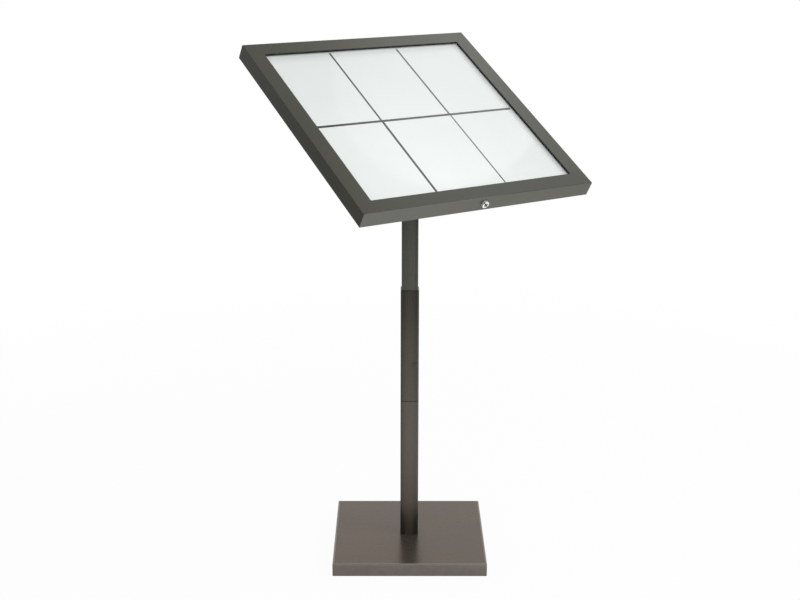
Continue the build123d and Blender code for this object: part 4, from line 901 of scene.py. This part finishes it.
# %% Bolts and nut in place
EAR_OUTSIDE = 0.0235
SWIVEL_BOLT_SEAT = 1.1482
BASE_BOLT_SEAT = 0.012
TO_RIGHT, TO_LEFT = Matrix.Rotation(pi / 2, 4, "Y"), Matrix.Rotation(-pi / 2, 4, "Y")
RIGHT_EAR = TILT_AXIS @ Matrix.Translation((EAR_OUTSIDE, 0.0, 0.0)) @ TO_RIGHT
LEFT_EAR = TILT_AXIS @ Matrix.Translation((-EAR_OUTSIDE, 0.0, 0.0)) @ TO_LEFT
ON_YOKE = Matrix.Translation((0.0, 0.0, SWIVEL_BOLT_SEAT))
UNDER_BASE = Matrix.Translation((0.0, 0.0, BASE_BOLT_SEAT)) @ Matrix.Rotation(pi, 4, "X")
tilt_bolt = hexagon_bolt(flats=0.017, head=0.0064, radius=0.005, shank=0.057, thread=0.014)
tilt_nut = lock_nut(flats=0.017, height=0.008, bore=0.00505)
swivel_bolt = hexagon_bolt(flats=0.018, head=0.0075, radius=0.006, shank=0.0512, thread=0.018)
base_bolt = hexagon_bolt(flats=0.018, head=0.0075, radius=0.006, shank=0.046, thread=0.020)
new_piece("tilt_hexagon_bolt", placed(tilt_bolt, RIGHT_EAR), zinc, "yoke", "zinc_steel", "tilt_bolt")
new_piece("tilt_lock_nut", placed(tilt_nut, LEFT_EAR), zinc, "yoke", "zinc_steel", "tilt_nut")
new_piece("swivel_hexagon_bolt", placed(swivel_bolt, ON_YOKE), zinc, "mast", "zinc_steel", "swivel_bolt")
new_piece("base_hexagon_bolt", placed(base_bolt, UNDER_BASE), zinc, "stand", "zinc_steel", "base_bolt")

# %% [markdown]
# ## Rivets, a black ring and the knob's cap
# The hinge leaves are riveted to the back panel and to the inside of the door's skirt. A thin black ring
# round the lock in the skirt stands in for shade: it draws the dark line of shade round the chrome. The
# clamp knob has a cap over its stud. All of these are round, so a short profile is grown ring by ring as
# before.

# %% Rivets of the hinges
RIVET_ANGLES = (0.0, 0.4, 0.75, 1.1, 1.35)
RIVET_RADIUS, RIVET_FOOT = 0.0024, 0.0004


def rivet(height):
    """A low dome on z = 0 whose foot goes a little below."""
    shape = bmesh.new()
    dome = [(RIVET_RADIUS * cos(angle), height * sin(angle)) for angle in RIVET_ANGLES]
    start = first_ring(shape, RIVET_RADIUS, -RIVET_FOOT)
    close(shape, start)
    close(shape, grow(shape, start, *dome))
    return shape


def facing_reader(x, y, z):
    """A place on the head with z pointing down the slope, to the reader."""
    return HEAD @ Matrix.Translation((x, y, z)) @ Matrix.Rotation(pi / 2, 4, "X")


HINGES = (-0.240, 0.0, 0.240)
LEAF_THICKNESS = 0.0012
LEAF_FACE = 0.3338
CASE_LEAF = ((-0.02, 0.3155), (0.0, 0.3235), (0.02, 0.3155))
DOOR_LEAF = ((-0.02, 0.014), (0.0, 0.007), (0.02, 0.014))
CASE_RIVETS = [on_back(x + step, y, -LEAF_THICKNESS) for x in HINGES for step, y in CASE_LEAF]
DOOR_RIVETS = [facing_reader(x + step, LEAF_FACE, z) for x in HINGES for step, z in DOOR_LEAF]
new_piece("case_leaf_rivets", repeated(lambda: rivet(height=0.0011), CASE_RIVETS),
          zinc, "head", "zinc_steel")
new_piece("door_leaf_rivets", repeated(lambda: rivet(height=0.0007), DOOR_RIVETS),
          zinc, "door", "zinc_steel")

# %% The lock's black ring, as painted shade
LOCK_X, LOCK_HEIGHT = 0.0075, 0.0215
SHADE_RING_BORE = 0.00955
shade_ring = bmesh.new()
shade_ring_foot = first_ring(shade_ring, SHADE_RING_BORE, 0.0)
shade_ring_steps = [(0.0104, 0.0), (0.0103, 0.0004), (0.0101, 0.0006), (0.0098, 0.0006), (SHADE_RING_BORE, 0.0004)]
bmesh.ops.bridge_loops(shade_ring, edges=shade_ring_foot + grow(shade_ring, shade_ring_foot, *shade_ring_steps))
LOCK_PLACE = facing_reader(LOCK_X, -HEAD_LENGTH / 2, LOCK_HEIGHT)
new_piece("lock_shade_ring", placed(shade_ring, LOCK_PLACE), rubber, "door", "black_rubber")

# %% The knob's cap
KNOB_HEIGHT, KNOB_FACE = 0.735, 0.054
CAP_RADIUS, CAP_FOOT = 0.0068, 0.0005
OUT_OF_KNOB = POST @ Matrix.Translation((0.0, KNOB_FACE, KNOB_HEIGHT)) @ Matrix.Rotation(-pi / 2, 4, "X")
cap = bmesh.new()
cap_rings = [(CAP_RADIUS, 0.0003), (0.0064, 0.0007), (0.0050, 0.0010), (0.0025, 0.0012)]
cap_foot = first_ring(cap, CAP_RADIUS, -CAP_FOOT)
close(cap, cap_foot)
close(cap, grow(cap, cap_foot, *cap_rings))
new_piece("knob_cap", placed(cap, OUT_OF_KNOB), black_nylon, "clamp", "black_plastic")
